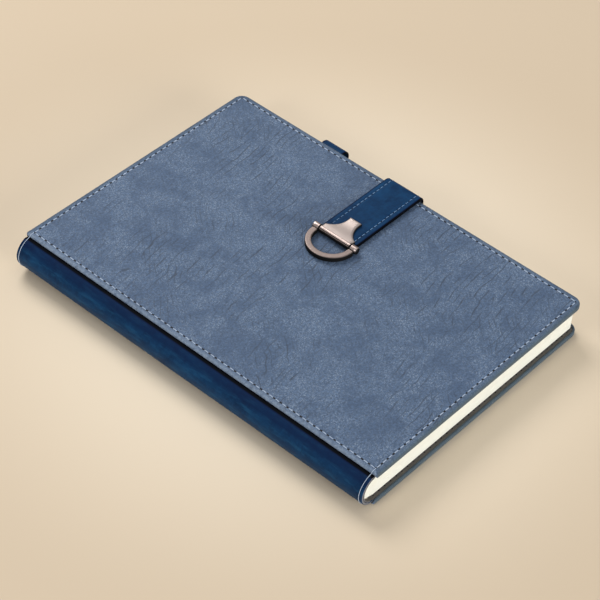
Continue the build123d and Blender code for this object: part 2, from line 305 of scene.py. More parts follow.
class DiarySizes(bpy.types.PropertyGroup):
    """Sizes of the sewing, the surface and the leaves."""

    stitch_pitch: length("Stitch pitch", "From one needle hole to the next", 0.0039)
    stitch_inset: length("Stitch inset", "From a cover's edge to its row of stitches", 0.0028)
    strap_pitch: length("Strap stitch pitch", "From one needle hole to the next on the strap", 0.0029)
    strap_inset: length("Strap stitch inset", "From the strap's edge to its row of stitches", 0.0028)
    thread_radius: length("Thread radius", "Half the thickness of the sewing thread", 0.00021)
    hole_radius: length("Needle hole radius", "Half the width of a needle hole", 0.00068)
    groove_depth: length("Stitch groove", "How deep a row of stitches pulls into the cover", 0.00022)
    sheet_gap: length("Gap between sheets", "Air between two sheets of a section", 0.00002)
    sheets: IntProperty(name="Sheets in a section", description="Folded sheets sewn into one section",
                        default=8, min=2, max=16)
    seed: IntProperty(name="Seed", description="Start of the small hand-made differences", default=7)


class DiaryColours(bpy.types.PropertyGroup):
    """Colours of the finishes."""

    cover_dark: colour("Cover, dark", "Deeper tone of the brushed covering", (0.054, 0.094, 0.172))
    cover_light: colour("Cover, light", "Lighter tone of the brushed covering", (0.077, 0.128, 0.221))
    # Pale flecks of the covering's own, and the seam strip, worn and painted lighter as if lit
    cover_worn_and_lit: colour("Cover, worn", "Rubbed flecks and seam of the covering", (0.255, 0.325, 0.425))
    # Painted shade in the covering's creases
    cover_crease_shade: colour("Cover, creased", "Thin creases of the covering", (0.036, 0.055, 0.090))
    # Painted shade on the covering's turned edges and the strips beside them
    cover_side_shade: colour("Cover, sides", "Turned edges of the covering", (0.042, 0.066, 0.078))
    navy_dark: colour("Leather, dark", "Deeper tone of the spine and strap", (0.002, 0.021, 0.068))
    # Painted shade on the spine and along the strap's edges
    navy_deep: colour("Leather, deep", "Shaded edges and crease of the leather", (0.001, 0.007, 0.040))
    navy_light: colour("Leather, light", "Lighter tone of the spine and strap", (0.005, 0.049, 0.136))
    navy_rubbed: colour("Leather, rubbed", "Pale streaks along the spine and strap", (0.013, 0.086, 0.195))
    raw_edge: colour("Raw edge", "Cut edge of the leather", (0.200, 0.205, 0.230))
    lining: colour("Lining", "Inner covering of the covers", (0.105, 0.096, 0.088))
    thread_pale: colour("Thread, pale", "Thread on the covers", (0.500, 0.600, 0.760))
    thread_blue: colour("Thread, blue", "Thread on the strap", (0.150, 0.275, 0.470))
    thread_dark: colour("Thread, dark", "Thread on the inner side of the covers", (0.060, 0.056, 0.060))
    paper: colour("Paper", "Leaves of the diary", (0.920, 0.920, 0.848))
    metal: colour("Buckle", "Rubbed faces of the buckle", (0.470, 0.380, 0.352))
    # Painted shade on the buckle's sides and hollows, and the darkened upper face of the ring
    metal_shade_and_tone: colour("Buckle, dark", "Hollows and sides of the buckle", (0.003, 0.003, 0.003))
    # Painted highlights along the buckle's edges
    metal_highlight: colour("Buckle, bright", "Polished edges of the buckle", (0.860, 0.770, 0.720))
    floor: colour("Floor", "Plain pale floor by the diary", (0.850, 0.738, 0.580))
    # The floor's painted pool of light fades to this colour away from the diary
    floor_far_shade: colour("Floor, far", "Plain pale floor away from the diary", (0.665, 0.542, 0.395))


def sizes():
    return bpy.context.scene.diary_sizes


def colours():
    return bpy.context.scene.diary_colours


def rgba(value, share=1.0):
    """A colour as a socket takes it, times a share."""
    return (*(part * share for part in value), 1.0)


# Meshes

class Shape:
    """Points and faces of one piece, gathered in millimetres."""

    def __init__(self):
        self.points = []
        self.faces = []
        self.uvs = []
        self.slots = []
        self.wear_and_painted_light = []

    def loft(self, rings, closed=True, caps=False, cap_slot=0, wear_and_painted_light=0.0, start=0.0):
        """Skins neighbouring rings that have equal counts of points."""
        rings = np.asarray(rings, float)
        count, size = rings.shape[:2]
        base = len(self.points)
        self.points.extend(rings.reshape(-1, 3).tolist())
        self.wear_and_painted_light.extend(np.broadcast_to(wear_and_painted_light, (count, size)).ravel().tolist())
        middle = rings[count // 2]
        loop = np.vstack([middle, middle[:1]])
        around = np.r_[0, np.cumsum(np.linalg.norm(np.diff(loop, axis=0), axis=1))]
        along = start + np.r_[0, np.cumsum(np.linalg.norm(np.diff(rings, axis=0), axis=2).mean(axis=1))]
        spans = size if closed else size - 1
        for row in range(count - 1):
            here = base + row * size
            there = here + size
            for i in range(spans):
                j = (i + 1) % size
                self.faces.append((here + i, here + j, there + j, there + i))
                self.uvs += [(around[i], along[row]), (around[i + 1], along[row]),
                             (around[i + 1], along[row + 1]), (around[i], along[row + 1])]
                self.slots.append(0)
        if caps:
            for row in (0, count - 1):
                self.cap(base + row * size, rings[row], cap_slot)

    def cap(self, base, ring, slot):
        """Closes one ring with a single face."""
        self.faces.append(tuple(range(base, base + len(ring))))
        spread = np.ptp(ring, axis=0)
        wide, high = np.sort(np.argsort(spread)[1:])
        self.uvs += [(point[wide], point[high]) for point in ring]
        self.slots.append(slot)

    def build(self, name, *materials, sharp=38):
        """Makes the object, with its faces turned outward."""
        mesh = bpy.data.meshes.new(name)
        mesh.from_pydata((np.array(self.points) * MM).tolist(), [], self.faces)
        layer = mesh.uv_layers.new(name="UVMap")
        layer.data.foreach_set("uv", (np.array(self.uvs) * MM).ravel())
        mesh.polygons.foreach_set("material_index", self.slots)
        # Per point: real wear mixed with painted light, that is painted shade, painted highlights and a worn
        # seam strip painted lighter as if lit
        wear_and_painted_light = mesh.attributes.new("wear_and_painted_light", "FLOAT", "POINT")
        wear_and_painted_light.data.foreach_set("value", self.wear_and_painted_light)
        work = bmesh.new()
        work.from_mesh(mesh)
        bmesh.ops.recalc_face_normals(work, faces=work.faces)
        work.to_mesh(mesh)
        work.free()
        mesh.shade_smooth()
        mesh.set_sharp_from_angle(angle=math.radians(sharp))
        for material in materials:
            mesh.materials.append(material)
        piece = bpy.data.objects.new(name, mesh)
        bpy.context.scene.collection.objects.link(piece)
        return piece


class Route:
    """Runs and arcs in the X-Z plane, measured along their length."""

    def __init__(self, *pieces):
        self.pieces = pieces
        self.lengths = [piece[-1] for piece in pieces]
        self.total = sum(self.lengths)

    @staticmethod
    def run(start, end):
        start, end = np.array(start, float), np.array(end, float)
        size = np.linalg.norm(end - start)
        return ("run", start, (end - start) / size, size)

    @staticmethod
    def arc(centre, radius, start, end):
        turn = math.radians(end - start)
        return ("arc", np.array(centre, float), radius, math.radians(start), turn, abs(radius * turn))

    def at(self, distance):
        """Point and direction at a distance from the start."""
        for piece in self.pieces:
            size = piece[-1]
            if distance <= size or piece is self.pieces[-1]:
                break
            distance -= size
        if piece[0] == "run":
            return piece[1] + piece[2] * distance, piece[2]
        centre, radius, start, turn = piece[1:5]
        angle = start + turn * distance / size
        spot = np.array([math.cos(angle), math.sin(angle)])
        ahead = np.array([-spot[1], spot[0]]) * math.copysign(1, turn)
        return centre + radius * spot, ahead

    def stops(self, step, low=0.0, high=None):
        """Distances of even stations, closer together on the arcs."""
        high = self.total if high is None else high
        found, reached = [low, high], 0.0
        for piece in self.pieces:
            size = piece[-1]
            fine = step if piece[0] == "run" else min(step, size / 9)
            count = max(1, math.ceil(size / fine))
            found += [reached + size * i / count for i in range(count + 1)]
            reached += size
        found = sorted(value for value in found if low <= value <= high)
        return [value for i, value in enumerate(found) if i == 0 or value - found[i - 1] > 1e-6]


def strip(route, stops, section, middle):
    """Rings of a band that follows a route; section gives (across, outward) offsets at a distance."""
    rings = []
    for distance in stops:
        spot, ahead = route.at(distance)
        outward = np.array([ahead[1], -ahead[0]])
        rings.append([(spot[0] + out * outward[0], middle + across, spot[1] + out * outward[1])
                      for across, out in section(distance)])
    return rings


def circle(count):
    """Angles of this many points round a circle."""
    return np.linspace(0, 2 * math.pi, count, endpoint=False)


def arc_points(centre, radius, angles):
    """Points of an arc at these angles; the radius may change along it."""
    return np.c_[centre[0] + radius * np.cos(angles), centre[1] + radius * np.sin(angles)]


def along_y(outline, stations):
    """Rings of one X-Z outline at these stations along Y."""
    return [[(x, y, z) for x, z in outline] for y in stations]


def band_section(half, low, high, rounding, crown=0.0, groove=None):
    """Cross-section of a flat band: across its top, round one edge, back underneath, round the other."""
    rounding = min(rounding, (high - low) / 2)
    inner = half - rounding
    across = np.linspace(-inner, inner, 40)
    if groove:
        row, deep, wide = groove
        spots = [side * row + wide * offset for side in (-1, 1) for offset in (-1.4, -0.7, 0, 0.7, 1.4)]
        across = np.unique(np.r_[across, [spot for spot in spots if abs(spot) < inner]])
    top = high - crown * (np.abs(across) / half) ** 4
    if groove:
        top -= deep * np.exp(-((np.abs(across) - row) / wide) ** 2)
    upper = arc_points((inner, high - crown - rounding), rounding, np.radians((72, 54, 36, 18, 0)))
    lower = arc_points((inner, low + rounding), rounding, np.radians((0, -18, -36, -54, -72, -90)))
    edge = [*upper, *lower]
    under = [(x, low) for x in np.linspace(inner, -inner, 14)[1:-1]]
    return list(zip(across, top)) + edge + under + [(-x, out) for x, out in reversed(edge)]


def edge_shade(section, half, reach, run):
    """Darkening of a band's points towards its edges, from this reach over this run: partly the leather's own
    dark edge, partly painted shade.
    """
    return np.clip((np.abs([across for across, _ in section]) - half + reach) / run, 0, 1)


def turned(shape, profile, x, z):
    """Solid of revolution about a line along Y; profile gives y, radius and the point's painted light and
    shade, and closes on itself.
    """
    profile = [*profile, profile[0]]
    rings = [np.insert(arc_points((x, z), radius, circle(40)), 1, y, axis=1) for y, radius, _ in profile]
    shape.loft(rings, wear_and_painted_light=np.array([[wear_and_painted_light] for _, _, wear_and_painted_light in profile]))


def ripple(x, y, size):
    """Smooth bumps of about this size, from -1 to 1."""
    return np.array([noise.noise(Vector((a / size, b / size, 0.37))) for a, b in zip(x, y)])


# Finishes

# Tones that scale another colour
NAP_DARK = (0.58, 0.61, 0.64, 1)
NAP_LIGHT = (1.42, 1.39, 1.36, 1)
HIDE_DARK = (0.82, 0.82, 0.82, 1)
HIDE_LIGHT = (1.16, 1.16, 1.16, 1)
FLOOR_DARK = (0.985, 0.985, 0.985, 1)
FLOOR_LIGHT = (1.0, 1.0, 1.0, 1)

# From the diary's middle, in millimetres, the painted pool of light on the floor fades between these
FLOOR_LIGHT_FADES = (50.0, 215.0)

# Colours of painted shade, in the leather's creases, for the black seam shadow, in needle holes and between
# the lining's threads, and colours of pieces that stay inside
HIDE_CREASE = (0.002, 0.006, 0.018, 1)
HIDE_BLACK = (0.0004, 0.0006, 0.0010, 1)
NEEDLE_HOLE_SHADE = (0.003, 0.003, 0.006)
BOARD_GREY = (0.36, 0.34, 0.31)
CLOTH_GAP_SHADE = (0.03, 0.027, 0.025, 1)
GAUZE_GAP = (0.30, 0.27, 0.20, 1)
GAUZE_DARK = (0.50, 0.46, 0.36, 1)
GAUZE_LIGHT = (0.66, 0.62, 0.52, 1)
NICKEL_DARK = (0.42, 0.40, 0.38, 1)
NICKEL_LIGHT = (0.56, 0.54, 0.51, 1)


class Nodes:
    """Adds nodes to one tree and joins them."""

    def __init__(self, tree):
        self.tree = tree

    def feed(self, socket, value):
        """Joins another socket to this one, or gives it a value."""
        if isinstance(value, bpy.types.NodeSocket):
            self.tree.links.new(value, socket)
        else:
            socket.default_value = value

    def add(self, kind, values=None, **settings):
        """Adds a node with its settings and what its inputs take."""
        node = self.tree.nodes.new(kind)
        for name, value in settings.items():
            setattr(node, name, value)
        for socket, value in (values or {}).items():
            self.feed(node.inputs[socket], value)
        return node

    def math(self, operation, *terms):
        return self.add("ShaderNodeMath", dict(enumerate(terms)), operation=operation).outputs[0]

    def times(self, first, second):
        return self.math("MULTIPLY", first, second)

    def times_plus(self, first, second, added):
        return self.math("MULTIPLY_ADD", first, second, added)

    def less(self, first, second):
        return self.math("SUBTRACT", first, second)

    def vector(self, operation, *terms):
        return self.add("ShaderNodeVectorMath", dict(enumerate(terms)), operation=operation).outputs[0]

    def split(self, place):
        return self.add("ShaderNodeSeparateXYZ", {"Vector": place}).outputs

    def noise(self, place, scale, detail=3.0, rough=0.5, warp=0.0):
        values = {"Vector": place, "Scale": scale, "Detail": detail, "Roughness": rough, "Distortion": warp}
        return self.add("ShaderNodeTexNoise", values).outputs["Fac"]

    def turned(self, place, degrees, offset):
        """A place turned about Z, then shifted."""
        turned = self.add("ShaderNodeVectorRotate", {"Vector": place, "Angle": math.radians(degrees)},
                          rotation_type="Z_AXIS").outputs[0]
        return self.vector("ADD", turned, offset)

    def ramp(self, value, low, high, start=0.0, end=1.0):
        """Eases from start to end while the value goes from low to high."""
        values = {"Value": value, "From Min": low, "From Max": high, "To Min": start, "To Max": end}
        return self.add("ShaderNodeMapRange", values, interpolation_type="SMOOTHSTEP").outputs["Result"]

    def mix(self, factor, first, second, blend="MIX"):
        node = self.add("ShaderNodeMix", {0: factor, 6: first, 7: second}, data_type="RGBA", blend_type=blend)
        return node.outputs[2]

    def tinted(self, paint, tone, mask, share):
        """Paint with a tone laid over it where the mask is, as far as a share."""
        return self.mix(self.times(mask, share), paint, rgba(tone))

    def place(self, source):
        """Coordinates in millimetres: Object for stiff pieces, UV for those that bend."""
        spot = self.add("ShaderNodeTexCoord").outputs[source]
        node = self.add("ShaderNodeVectorMath", {"Vector": spot, "Scale": 1 / MM}, operation="SCALE")
        return node.outputs[0]

    def wear_and_painted_light(self):
        return self.add("ShaderNodeAttribute", attribute_name="wear_and_painted_light").outputs["Fac"]

    def effect(self, group, **values):
        """Places a shared effect; its inputs are given by name, in small letters."""
        inputs = {name.capitalize(): value for name, value in values.items()}
        return self.add("ShaderNodeGroup", inputs, node_tree=group).outputs

    def dress(self, shader, paint, rough, relief, depth, strength):
        """Feeds a shader its colour, its roughness and a relief this deep in millimetres."""
        self.feed(shader["Base Color"], paint)
        self.feed(shader["Roughness"], rough)
        values = {"Height": relief, "Distance": depth * MM, "Strength": strength}
        self.feed(shader["Normal"], self.add("ShaderNodeBump", values).outputs["Normal"])


def shared_effect(inputs, outputs):
    """Turns a function that fills an effect into one that hands it out, filled at its first use."""
    def wrap(fill):
        @wraps(fill)
        def hand_out():
            name = fill.__name__.capitalize()
            tree = bpy.data.node_groups.get(name)
            if tree is None:
                tree = new_effect(name, inputs, outputs)
                nodes = Nodes(tree)
                fill(nodes, nodes.add("NodeGroupInput").outputs, nodes.add("NodeGroupOutput").inputs)
            return tree
        return hand_out
    return wrap


def new_effect(name, inputs, outputs):
    """An empty effect with its sockets; each input has a default, but for the place that it is given."""
    tree = bpy.data.node_groups.new(name, "ShaderNodeTree")
    tree.interface.new_socket("Place", in_out="INPUT", socket_type="NodeSocketVector")
    for label, default in inputs.items():
        kind = "Color" if isinstance(default, tuple) else "Float"
        socket = tree.interface.new_socket(label, in_out="INPUT", socket_type=f"NodeSocket{kind}")
        socket.default_value = default
    for label, kind in outputs.items():
        tree.interface.new_socket(label, in_out="OUTPUT", socket_type=f"NodeSocket{kind}")
    return tree


@shared_effect({"Size": 20.0, "Contrast": 0.4, "Dark": (0, 0, 0, 1), "Light": (1, 1, 1, 1)},
               {"Colour": "Color", "Mask": "Float"})
def mottle(nodes, given, out):
    """Cloudy variation between two colours."""
    scale = nodes.math("DIVIDE", 1.0, given["Size"])
    broad = nodes.noise(given["Place"], scale, 2.0, 0.5, 0.6)
    small = nodes.noise(given["Place"], nodes.times(scale, 4.3), 3.0, 0.6, 0.3)
    mask = nodes.times_plus(broad, 0.6, nodes.times(small, 0.4))
    half = nodes.times(given["Contrast"], 0.5)
    mask = nodes.ramp(mask, nodes.less(0.5, half), nodes.math("ADD", 0.5, half))
    nodes.feed(out["Mask"], mask)
    nodes.feed(out["Colour"], nodes.mix(mask, given["Dark"], given["Light"]))


@shared_effect({"Size": 0.8}, {"Height": "Float"})
def grain(nodes, given, out):
    """Fine pebbled relief, as on leather and coated cloth."""
    scale = nodes.math("DIVIDE", 1.0, given["Size"])
    cells = nodes.add("ShaderNodeTexVoronoi", {"Vector": given["Place"], "Scale": scale, "Randomness": 1.0},
                      feature="SMOOTH_F1")
    pebble = nodes.less(1.0, cells.outputs["Distance"])
    fuzz = nodes.noise(given["Place"], nodes.times(scale, 2.1), 3.0, 0.65)
    nodes.feed(out["Height"], nodes.times_plus(pebble, 0.6, nodes.times(fuzz, 0.6)))


@shared_effect({"Spacing": 3.0, "Width": 0.3, "Cover": 0.4}, {"Mask": "Float"})
def creases(nodes, given, out):
    """Thin broken lines side by side that gather in patches and run along X."""
    scale = nodes.math("DIVIDE", 1.0, given["Spacing"])
    drawn_out = nodes.vector("MULTIPLY", given["Place"], (0.4, 1.0, 1.0))
    wander = nodes.noise(drawn_out, nodes.times(scale, 0.22), 4.0, 0.5)
    split = nodes.split(given["Place"])
    row = nodes.times_plus(split["Y"], scale, nodes.times(wander, 3.6))
    off = nodes.math("ABSOLUTE", nodes.less(nodes.math("FRACT", row), 0.5))
    line = nodes.less(1.0, nodes.ramp(nodes.times(off, given["Spacing"]), 0.0, given["Width"]))
    along = nodes.times(split["X"], nodes.times(scale, 0.30))
    own_row = nodes.times(nodes.math("FLOOR", row), 5.17)
    lengths = nodes.add("ShaderNodeCombineXYZ", {"X": along, "Y": own_row}).outputs[0]
    broken = nodes.ramp(nodes.noise(lengths, 1.0, 1.0), 0.41, 0.55)
    edge = nodes.less(1.0, given["Cover"])
    patch = nodes.noise(given["Place"], nodes.times(scale, 0.10), 2.0, 0.5)
    patch = nodes.ramp(patch, nodes.less(edge, 0.06), nodes.math("ADD", edge, 0.12))
    nodes.feed(out["Mask"], nodes.times(line, nodes.times(patch, broken)))


@shared_effect({"Pitch": 0.5}, {"Height": "Float"})
def weave(nodes, given, out):
    """Crossing threads of a cloth."""
    split = nodes.split(given["Place"])
    turn = nodes.math("DIVIDE", math.pi, given["Pitch"])
    warp = nodes.math("SINE", nodes.times(split["X"], turn))
    weft = nodes.math("SINE", nodes.times(split["Y"], turn))
    nodes.feed(out["Height"], nodes.times_plus(nodes.times(warp, weft), 0.5, 0.5))


@shared_effect({"Ply": 0.5}, {"Height": "Float"})
def twist(nodes, given, out):
    """Plies that wind round a thread."""
    split = nodes.split(given["Place"])
    lean = nodes.math("ADD", nodes.times(split["X"], 1.2), split["Y"])
    wave = nodes.math("SINE", nodes.times(lean, nodes.math("DIVIDE", 2 * math.pi, given["Ply"])))
    nodes.feed(out["Height"], nodes.times_plus(wave, 0.5, 0.5))


@shared_effect({"Size": 0.1, "Draw": 0.05}, {"Height": "Float"})
def streaks(nodes, given, out):
    """Fine parallel marks, drawn out along Y."""
    along = nodes.add("ShaderNodeCombineXYZ", {"X": 1.0, "Y": given["Draw"], "Z": 1.0}).outputs[0]
    drawn = nodes.vector("MULTIPLY", given["Place"], along)
    nodes.feed(out["Height"], nodes.noise(drawn, nodes.math("DIVIDE", 1.0, given["Size"]), 3.0, 0.6))


def finish(paint):
    """Turns a function that paints a shader into one that hands out the finish, painted at its first use."""
    @wraps(paint)
    def hand_out(name=paint.__name__, *given):
        material = bpy.data.materials.get(name)
        if material is None:
            material = bpy.data.materials.new(name)
            material.use_nodes = True
            tree = material.node_tree
            paint(Nodes(tree), tree.nodes["Principled BSDF"].inputs, *given)
        return material
    return hand_out


@finish
def brushed_cover(nodes, shader):
    """Grey-blue covering with a brushed, mottled nap and faint creases painted darker as shade, its seam
    strip worn and painted lighter as if lit, and painted shade along its other edges and sides.
    """
    tone = colours()
    place = nodes.place("Object")
    cloud = nodes.effect(mottle(), place=place, size=16.0, contrast=0.5,
                         dark=rgba(tone.cover_dark), light=rgba(tone.cover_light))
    nap = nodes.effect(mottle(), place=place, size=1.0, contrast=0.34, dark=NAP_DARK, light=NAP_LIGHT)
    fleck = nodes.ramp(nodes.noise(place, 1.6, 2.0, 0.65, 1.4), 0.525, 0.62)
    fleck = nodes.times(fleck, nodes.ramp(cloud["Mask"], 0.1, 0.85, 0.15, 1.0))
    fold = nodes.effect(creases(), place=nodes.turned(place, -7, (0.0, 40.0, 0.0)),
                        spacing=3.4, width=0.42, cover=0.50)["Mask"]
    faint = nodes.effect(creases(), place=nodes.turned(place, -47, (61.0, 17.0, 0.0)),
                         spacing=2.6, width=0.34, cover=0.45)["Mask"]
    # Seam strip, worn and painted lighter as if lit
    worn_and_lit = nodes.math("MAXIMUM", nodes.wear_and_painted_light(), 0.0)
    worn_and_lit = nodes.times(worn_and_lit, nodes.ramp(nodes.noise(place, 0.5, 3.0), 0.3, 0.65, 0.35, 1.0))
    paint = nodes.mix(1.0, cloud["Colour"], nap["Colour"], "MULTIPLY")
    paint = nodes.tinted(paint, tone.cover_worn_and_lit, fleck, 0.8)
    # Creases painted darker, as the shade in them; their relief is in the bump below
    paint = nodes.tinted(paint, tone.cover_crease_shade, fold, 0.9)
    paint = nodes.tinted(paint, tone.cover_crease_shade, faint, 0.8)
    paint = nodes.tinted(paint, tone.cover_worn_and_lit, worn_and_lit, 0.7)
    # Painted shade on the turned edges and along the head, fore and tail edges
    side = nodes.math("MAXIMUM", nodes.times(nodes.wear_and_painted_light(), -0.9), 0.0)
    paint = nodes.mix(side, paint, rgba(tone.cover_side_shade))
    pebble = nodes.effect(grain(), place=place, size=0.9)["Height"]
    relief = nodes.times_plus(nap["Mask"], 0.45, nodes.times(pebble, 0.5))
    relief = nodes.times_plus(fold, -0.9, relief)
    relief = nodes.times_plus(faint, -0.45, relief)
    nodes.dress(shader, paint, nodes.ramp(nap["Mask"], 0.0, 1.0, 0.62, 0.78), relief, 0.16, 0.55)
    shader["Sheen Weight"].default_value = 0.12
    shader["Sheen Roughness"].default_value = 0.45
    shader["Specular IOR Level"].default_value = 0.35


@finish
def navy_leather(nodes, shader, streaked):
    """Smooth navy leather, softly clouded, with painted shade in its creases, at the spine's seam and away
    from the spine's bulge, and dark edges that are partly its own and partly painted shade; streaked is how
    far pale streaks show.
    """
    tone = colours()
    place = nodes.place("UV")
    cloud = nodes.effect(mottle(), place=place, size=13.0, contrast=0.5,
                         dark=rgba(tone.navy_dark), light=rgba(tone.navy_light))
    fine = nodes.effect(mottle(), place=place, size=1.7, contrast=0.6, dark=HIDE_DARK, light=HIDE_LIGHT)
    fold = nodes.effect(creases(), place=place, spacing=2.4, width=0.3, cover=0.45)["Mask"]
    drawn = nodes.effect(streaks(), place=place, size=2.4, draw=0.20)["Height"]
    paint = nodes.mix(1.0, cloud["Colour"], fine["Colour"], "MULTIPLY")
    paint = nodes.mix(nodes.ramp(drawn, 0.46, 0.70, 0.0, streaked), paint, rgba(tone.navy_rubbed))
    # Painted shade in the leather's creases
    paint = nodes.mix(nodes.times(fold, 0.3), paint, HIDE_CREASE)
    # Painted shade: deep navy, then black for the shadow beside the cover's seam
    paint = nodes.mix(nodes.ramp(nodes.wear_and_painted_light(), 0.0, 0.6, 0.0, 0.85), paint, rgba(tone.navy_deep))
    paint = nodes.mix(nodes.ramp(nodes.wear_and_painted_light(), 0.64, 1.0, 0.0, 0.97), paint, HIDE_BLACK)
    rough = nodes.times_plus(nodes.wear_and_painted_light(), 0.4, nodes.ramp(cloud["Mask"], 0.0, 1.0, 0.40, 0.54))
    pebble = nodes.effect(grain(), place=place, size=0.55)["Height"]
    relief = nodes.times_plus(fold, -0.6, nodes.times(pebble, 0.6))
    relief = nodes.times_plus(cloud["Mask"], 0.5, relief)
    nodes.dress(shader, paint, rough, relief, 0.07, 0.5)
    shader["Specular IOR Level"].default_value = 0.09


def smooth_navy():
    """Leather of the strap and the pen loop."""
    return navy_leather("smooth_navy", 0.15)


def streaked_navy():
    """Leather of the spine."""
    return navy_leather("streaked_navy", 0.55)


@finish
def plain_finish(nodes, shader, base, shade, size, rough, depth):
    """A mottled, grained finish of one colour; shade is the share of it that its deep tone keeps."""
    place = nodes.place("Object")
    cloud = nodes.effect(mottle(), place=place, size=size, contrast=0.5,
                         dark=rgba(base, shade), light=rgba(base))
    pebble = nodes.effect(grain(), place=place, size=size * 0.25)["Height"]
    nodes.dress(shader, cloud["Colour"], nodes.ramp(cloud["Mask"], 0.0, 1.0, *rough), pebble, depth, 0.6)


def raw_edge():
    """Cut edge of the leather."""
    return plain_finish("raw_edge", colours().raw_edge, 0.55, 0.9, (0.75, 0.9), 0.08)


def needle_dark():
    """Painted shade of a needle hole: a near-black disc where the hole's inside lies in shade."""
    return plain_finish("needle_dark", NEEDLE_HOLE_SHADE, 0.4, 0.4, (0.7, 0.9), 0.03)


def grey_board():
    """Board inside the covers."""
    return plain_finish("grey_board", BOARD_GREY, 0.75, 3.0, (0.85, 0.95), 0.1)


@finish
def cloth_lining(nodes, shader):
    """Thin woven cloth, dark and a little dusty, with painted shade between its threads."""
    place = nodes.place("Object")
    base = colours().lining
    cloud = nodes.effect(mottle(), place=place, size=7.0, contrast=0.6,
                         dark=rgba(base, 0.7), light=rgba(base))
    threads = nodes.effect(weave(), place=place, pitch=0.45)["Height"]
    # Painted shade between the threads
    paint = nodes.mix(nodes.ramp(threads, 0.0, 0.6, 0.35, 0.0), cloud["Colour"], CLOTH_GAP_SHADE)
    nodes.dress(shader, paint, nodes.ramp(threads, 0.0, 1.0, 0.9, 0.75), threads, 0.06, 0.5)


@finish
def thread(nodes, shader, base):
    """Twisted sewing thread, with painted shade in the grooves between its plies."""
    plies = nodes.effect(twist(), place=nodes.place("UV"), ply=0.55)["Height"]
    cloud = nodes.effect(mottle(), place=nodes.place("Object"), size=4.0, contrast=0.7,
                         dark=rgba(base, 0.78), light=rgba(base))
    # Painted shade in the grooves between the plies
    paint = nodes.mix(nodes.ramp(plies, 0.0, 0.5, 0.4, 0.0), cloud["Colour"], rgba(base, 0.45))
    nodes.dress(shader, paint, nodes.ramp(plies, 0.0, 1.0, 0.7, 0.5), plies, 0.05, 0.7)


@finish
def ivory_paper(nodes, shader):
    """Uncoated paper with short fibres."""
    base = colours().paper
    place = nodes.place("Object")
    cloud = nodes.effect(mottle(), place=place, size=5.0, contrast=0.8,
                         dark=rgba(base, 0.95), light=rgba(base))
    fibres = nodes.effect(streaks(), place=place, size=0.35, draw=0.3)["Height"]
    paint = nodes.mix(nodes.ramp(fibres, 0.55, 0.8, 0.0, 0.12), cloud["Colour"], rgba(base, 0.82))
    nodes.dress(shader, paint, nodes.ramp(fibres, 0.2, 0.8, 0.85, 0.95), fibres, 0.02, 0.5)
    shader["Specular IOR Level"].default_value = 0.25


@finish
def gauze(nodes, shader):
    """Open cotton gauze, stiff with glue."""
    place = nodes.place("UV")
    threads = nodes.effect(weave(), place=place, pitch=0.9)["Height"]
    cloud = nodes.effect(mottle(), place=place, size=6.0, contrast=0.6, dark=GAUZE_DARK, light=GAUZE_LIGHT)
    paint = nodes.mix(nodes.ramp(threads, 0.1, 0.6, 0.6, 0.0), cloud["Colour"], GAUZE_GAP)
    nodes.dress(shader, paint, nodes.ramp(threads, 0.0, 1.0, 0.55, 0.85), threads, 0.15, 0.7)


@finish
def satin_buckle(nodes, shader):
    """Satin metal, with painted highlights along its edges and painted shade on its sides, in its hollows and
    under the barrel.
    """
    tone = colours()
    place = nodes.place("Object")
    marks = nodes.effect(streaks(), place=place, size=0.16, draw=0.06)["Height"]
    cloud = nodes.effect(mottle(), place=place, size=4.0, contrast=0.7,
                         dark=rgba(tone.metal, 0.86), light=rgba(tone.metal))
    # Positive values paint shade, negative ones paint highlights
    dark = nodes.math("MAXIMUM", nodes.wear_and_painted_light(), 0.0)
    painted_highlight = nodes.math("MAXIMUM", nodes.times(nodes.wear_and_painted_light(), -1.0), 0.0)
    paint = nodes.mix(dark, cloud["Colour"], rgba(tone.metal_shade_and_tone))
    paint = nodes.mix(painted_highlight, paint, rgba(tone.metal_highlight))
    rough = nodes.times_plus(dark, 0.3, nodes.ramp(marks, 0.2, 0.8, 0.34, 0.46))
    nodes.dress(shader, paint, rough, marks, 0.012, 0.35)
    nodes.feed(shader["Metallic"], nodes.ramp(dark, 0.5, 1.0, 1.0, 0.0))
    shader["Specular IOR Level"].default_value = 0.15


@finish
def plain_metal(nodes, shader):
    """Nickel plate on the pieces that stay inside."""
    place = nodes.place("Object")
    marks = nodes.effect(streaks(), place=place, size=0.3, draw=0.2)["Height"]
    cloud = nodes.effect(mottle(), place=place, size=3.0, contrast=0.7, dark=NICKEL_DARK, light=NICKEL_LIGHT)
    nodes.dress(shader, cloud["Colour"], nodes.ramp(marks, 0.2, 0.8, 0.25, 0.42), marks, 0.01, 0.3)
    shader["Metallic"].default_value = 1.0


@finish
def pale_floor(nodes, shader):
    """Smooth floor with a painted pool of light: lighter by the diary, painted darker away from it."""
    place = nodes.place("Object")
    far = nodes.add("ShaderNodeVectorMath", {0: place}, operation="LENGTH").outputs["Value"]
    grainy = nodes.effect(mottle(), place=place, size=60.0, contrast=0.8, dark=FLOOR_DARK, light=FLOOR_LIGHT)
    # Painted pool of light, fading away from the diary
    tone = nodes.mix(nodes.ramp(far, *FLOOR_LIGHT_FADES), rgba(colours().floor), rgba(colours().floor_far_shade))
    nodes.feed(shader["Base Color"], nodes.mix(1.0, tone, grainy["Colour"], "MULTIPLY"))
    nodes.feed(shader["Roughness"], nodes.ramp(grainy["Mask"], 0.0, 1.0, 0.75, 0.85))


# Covers

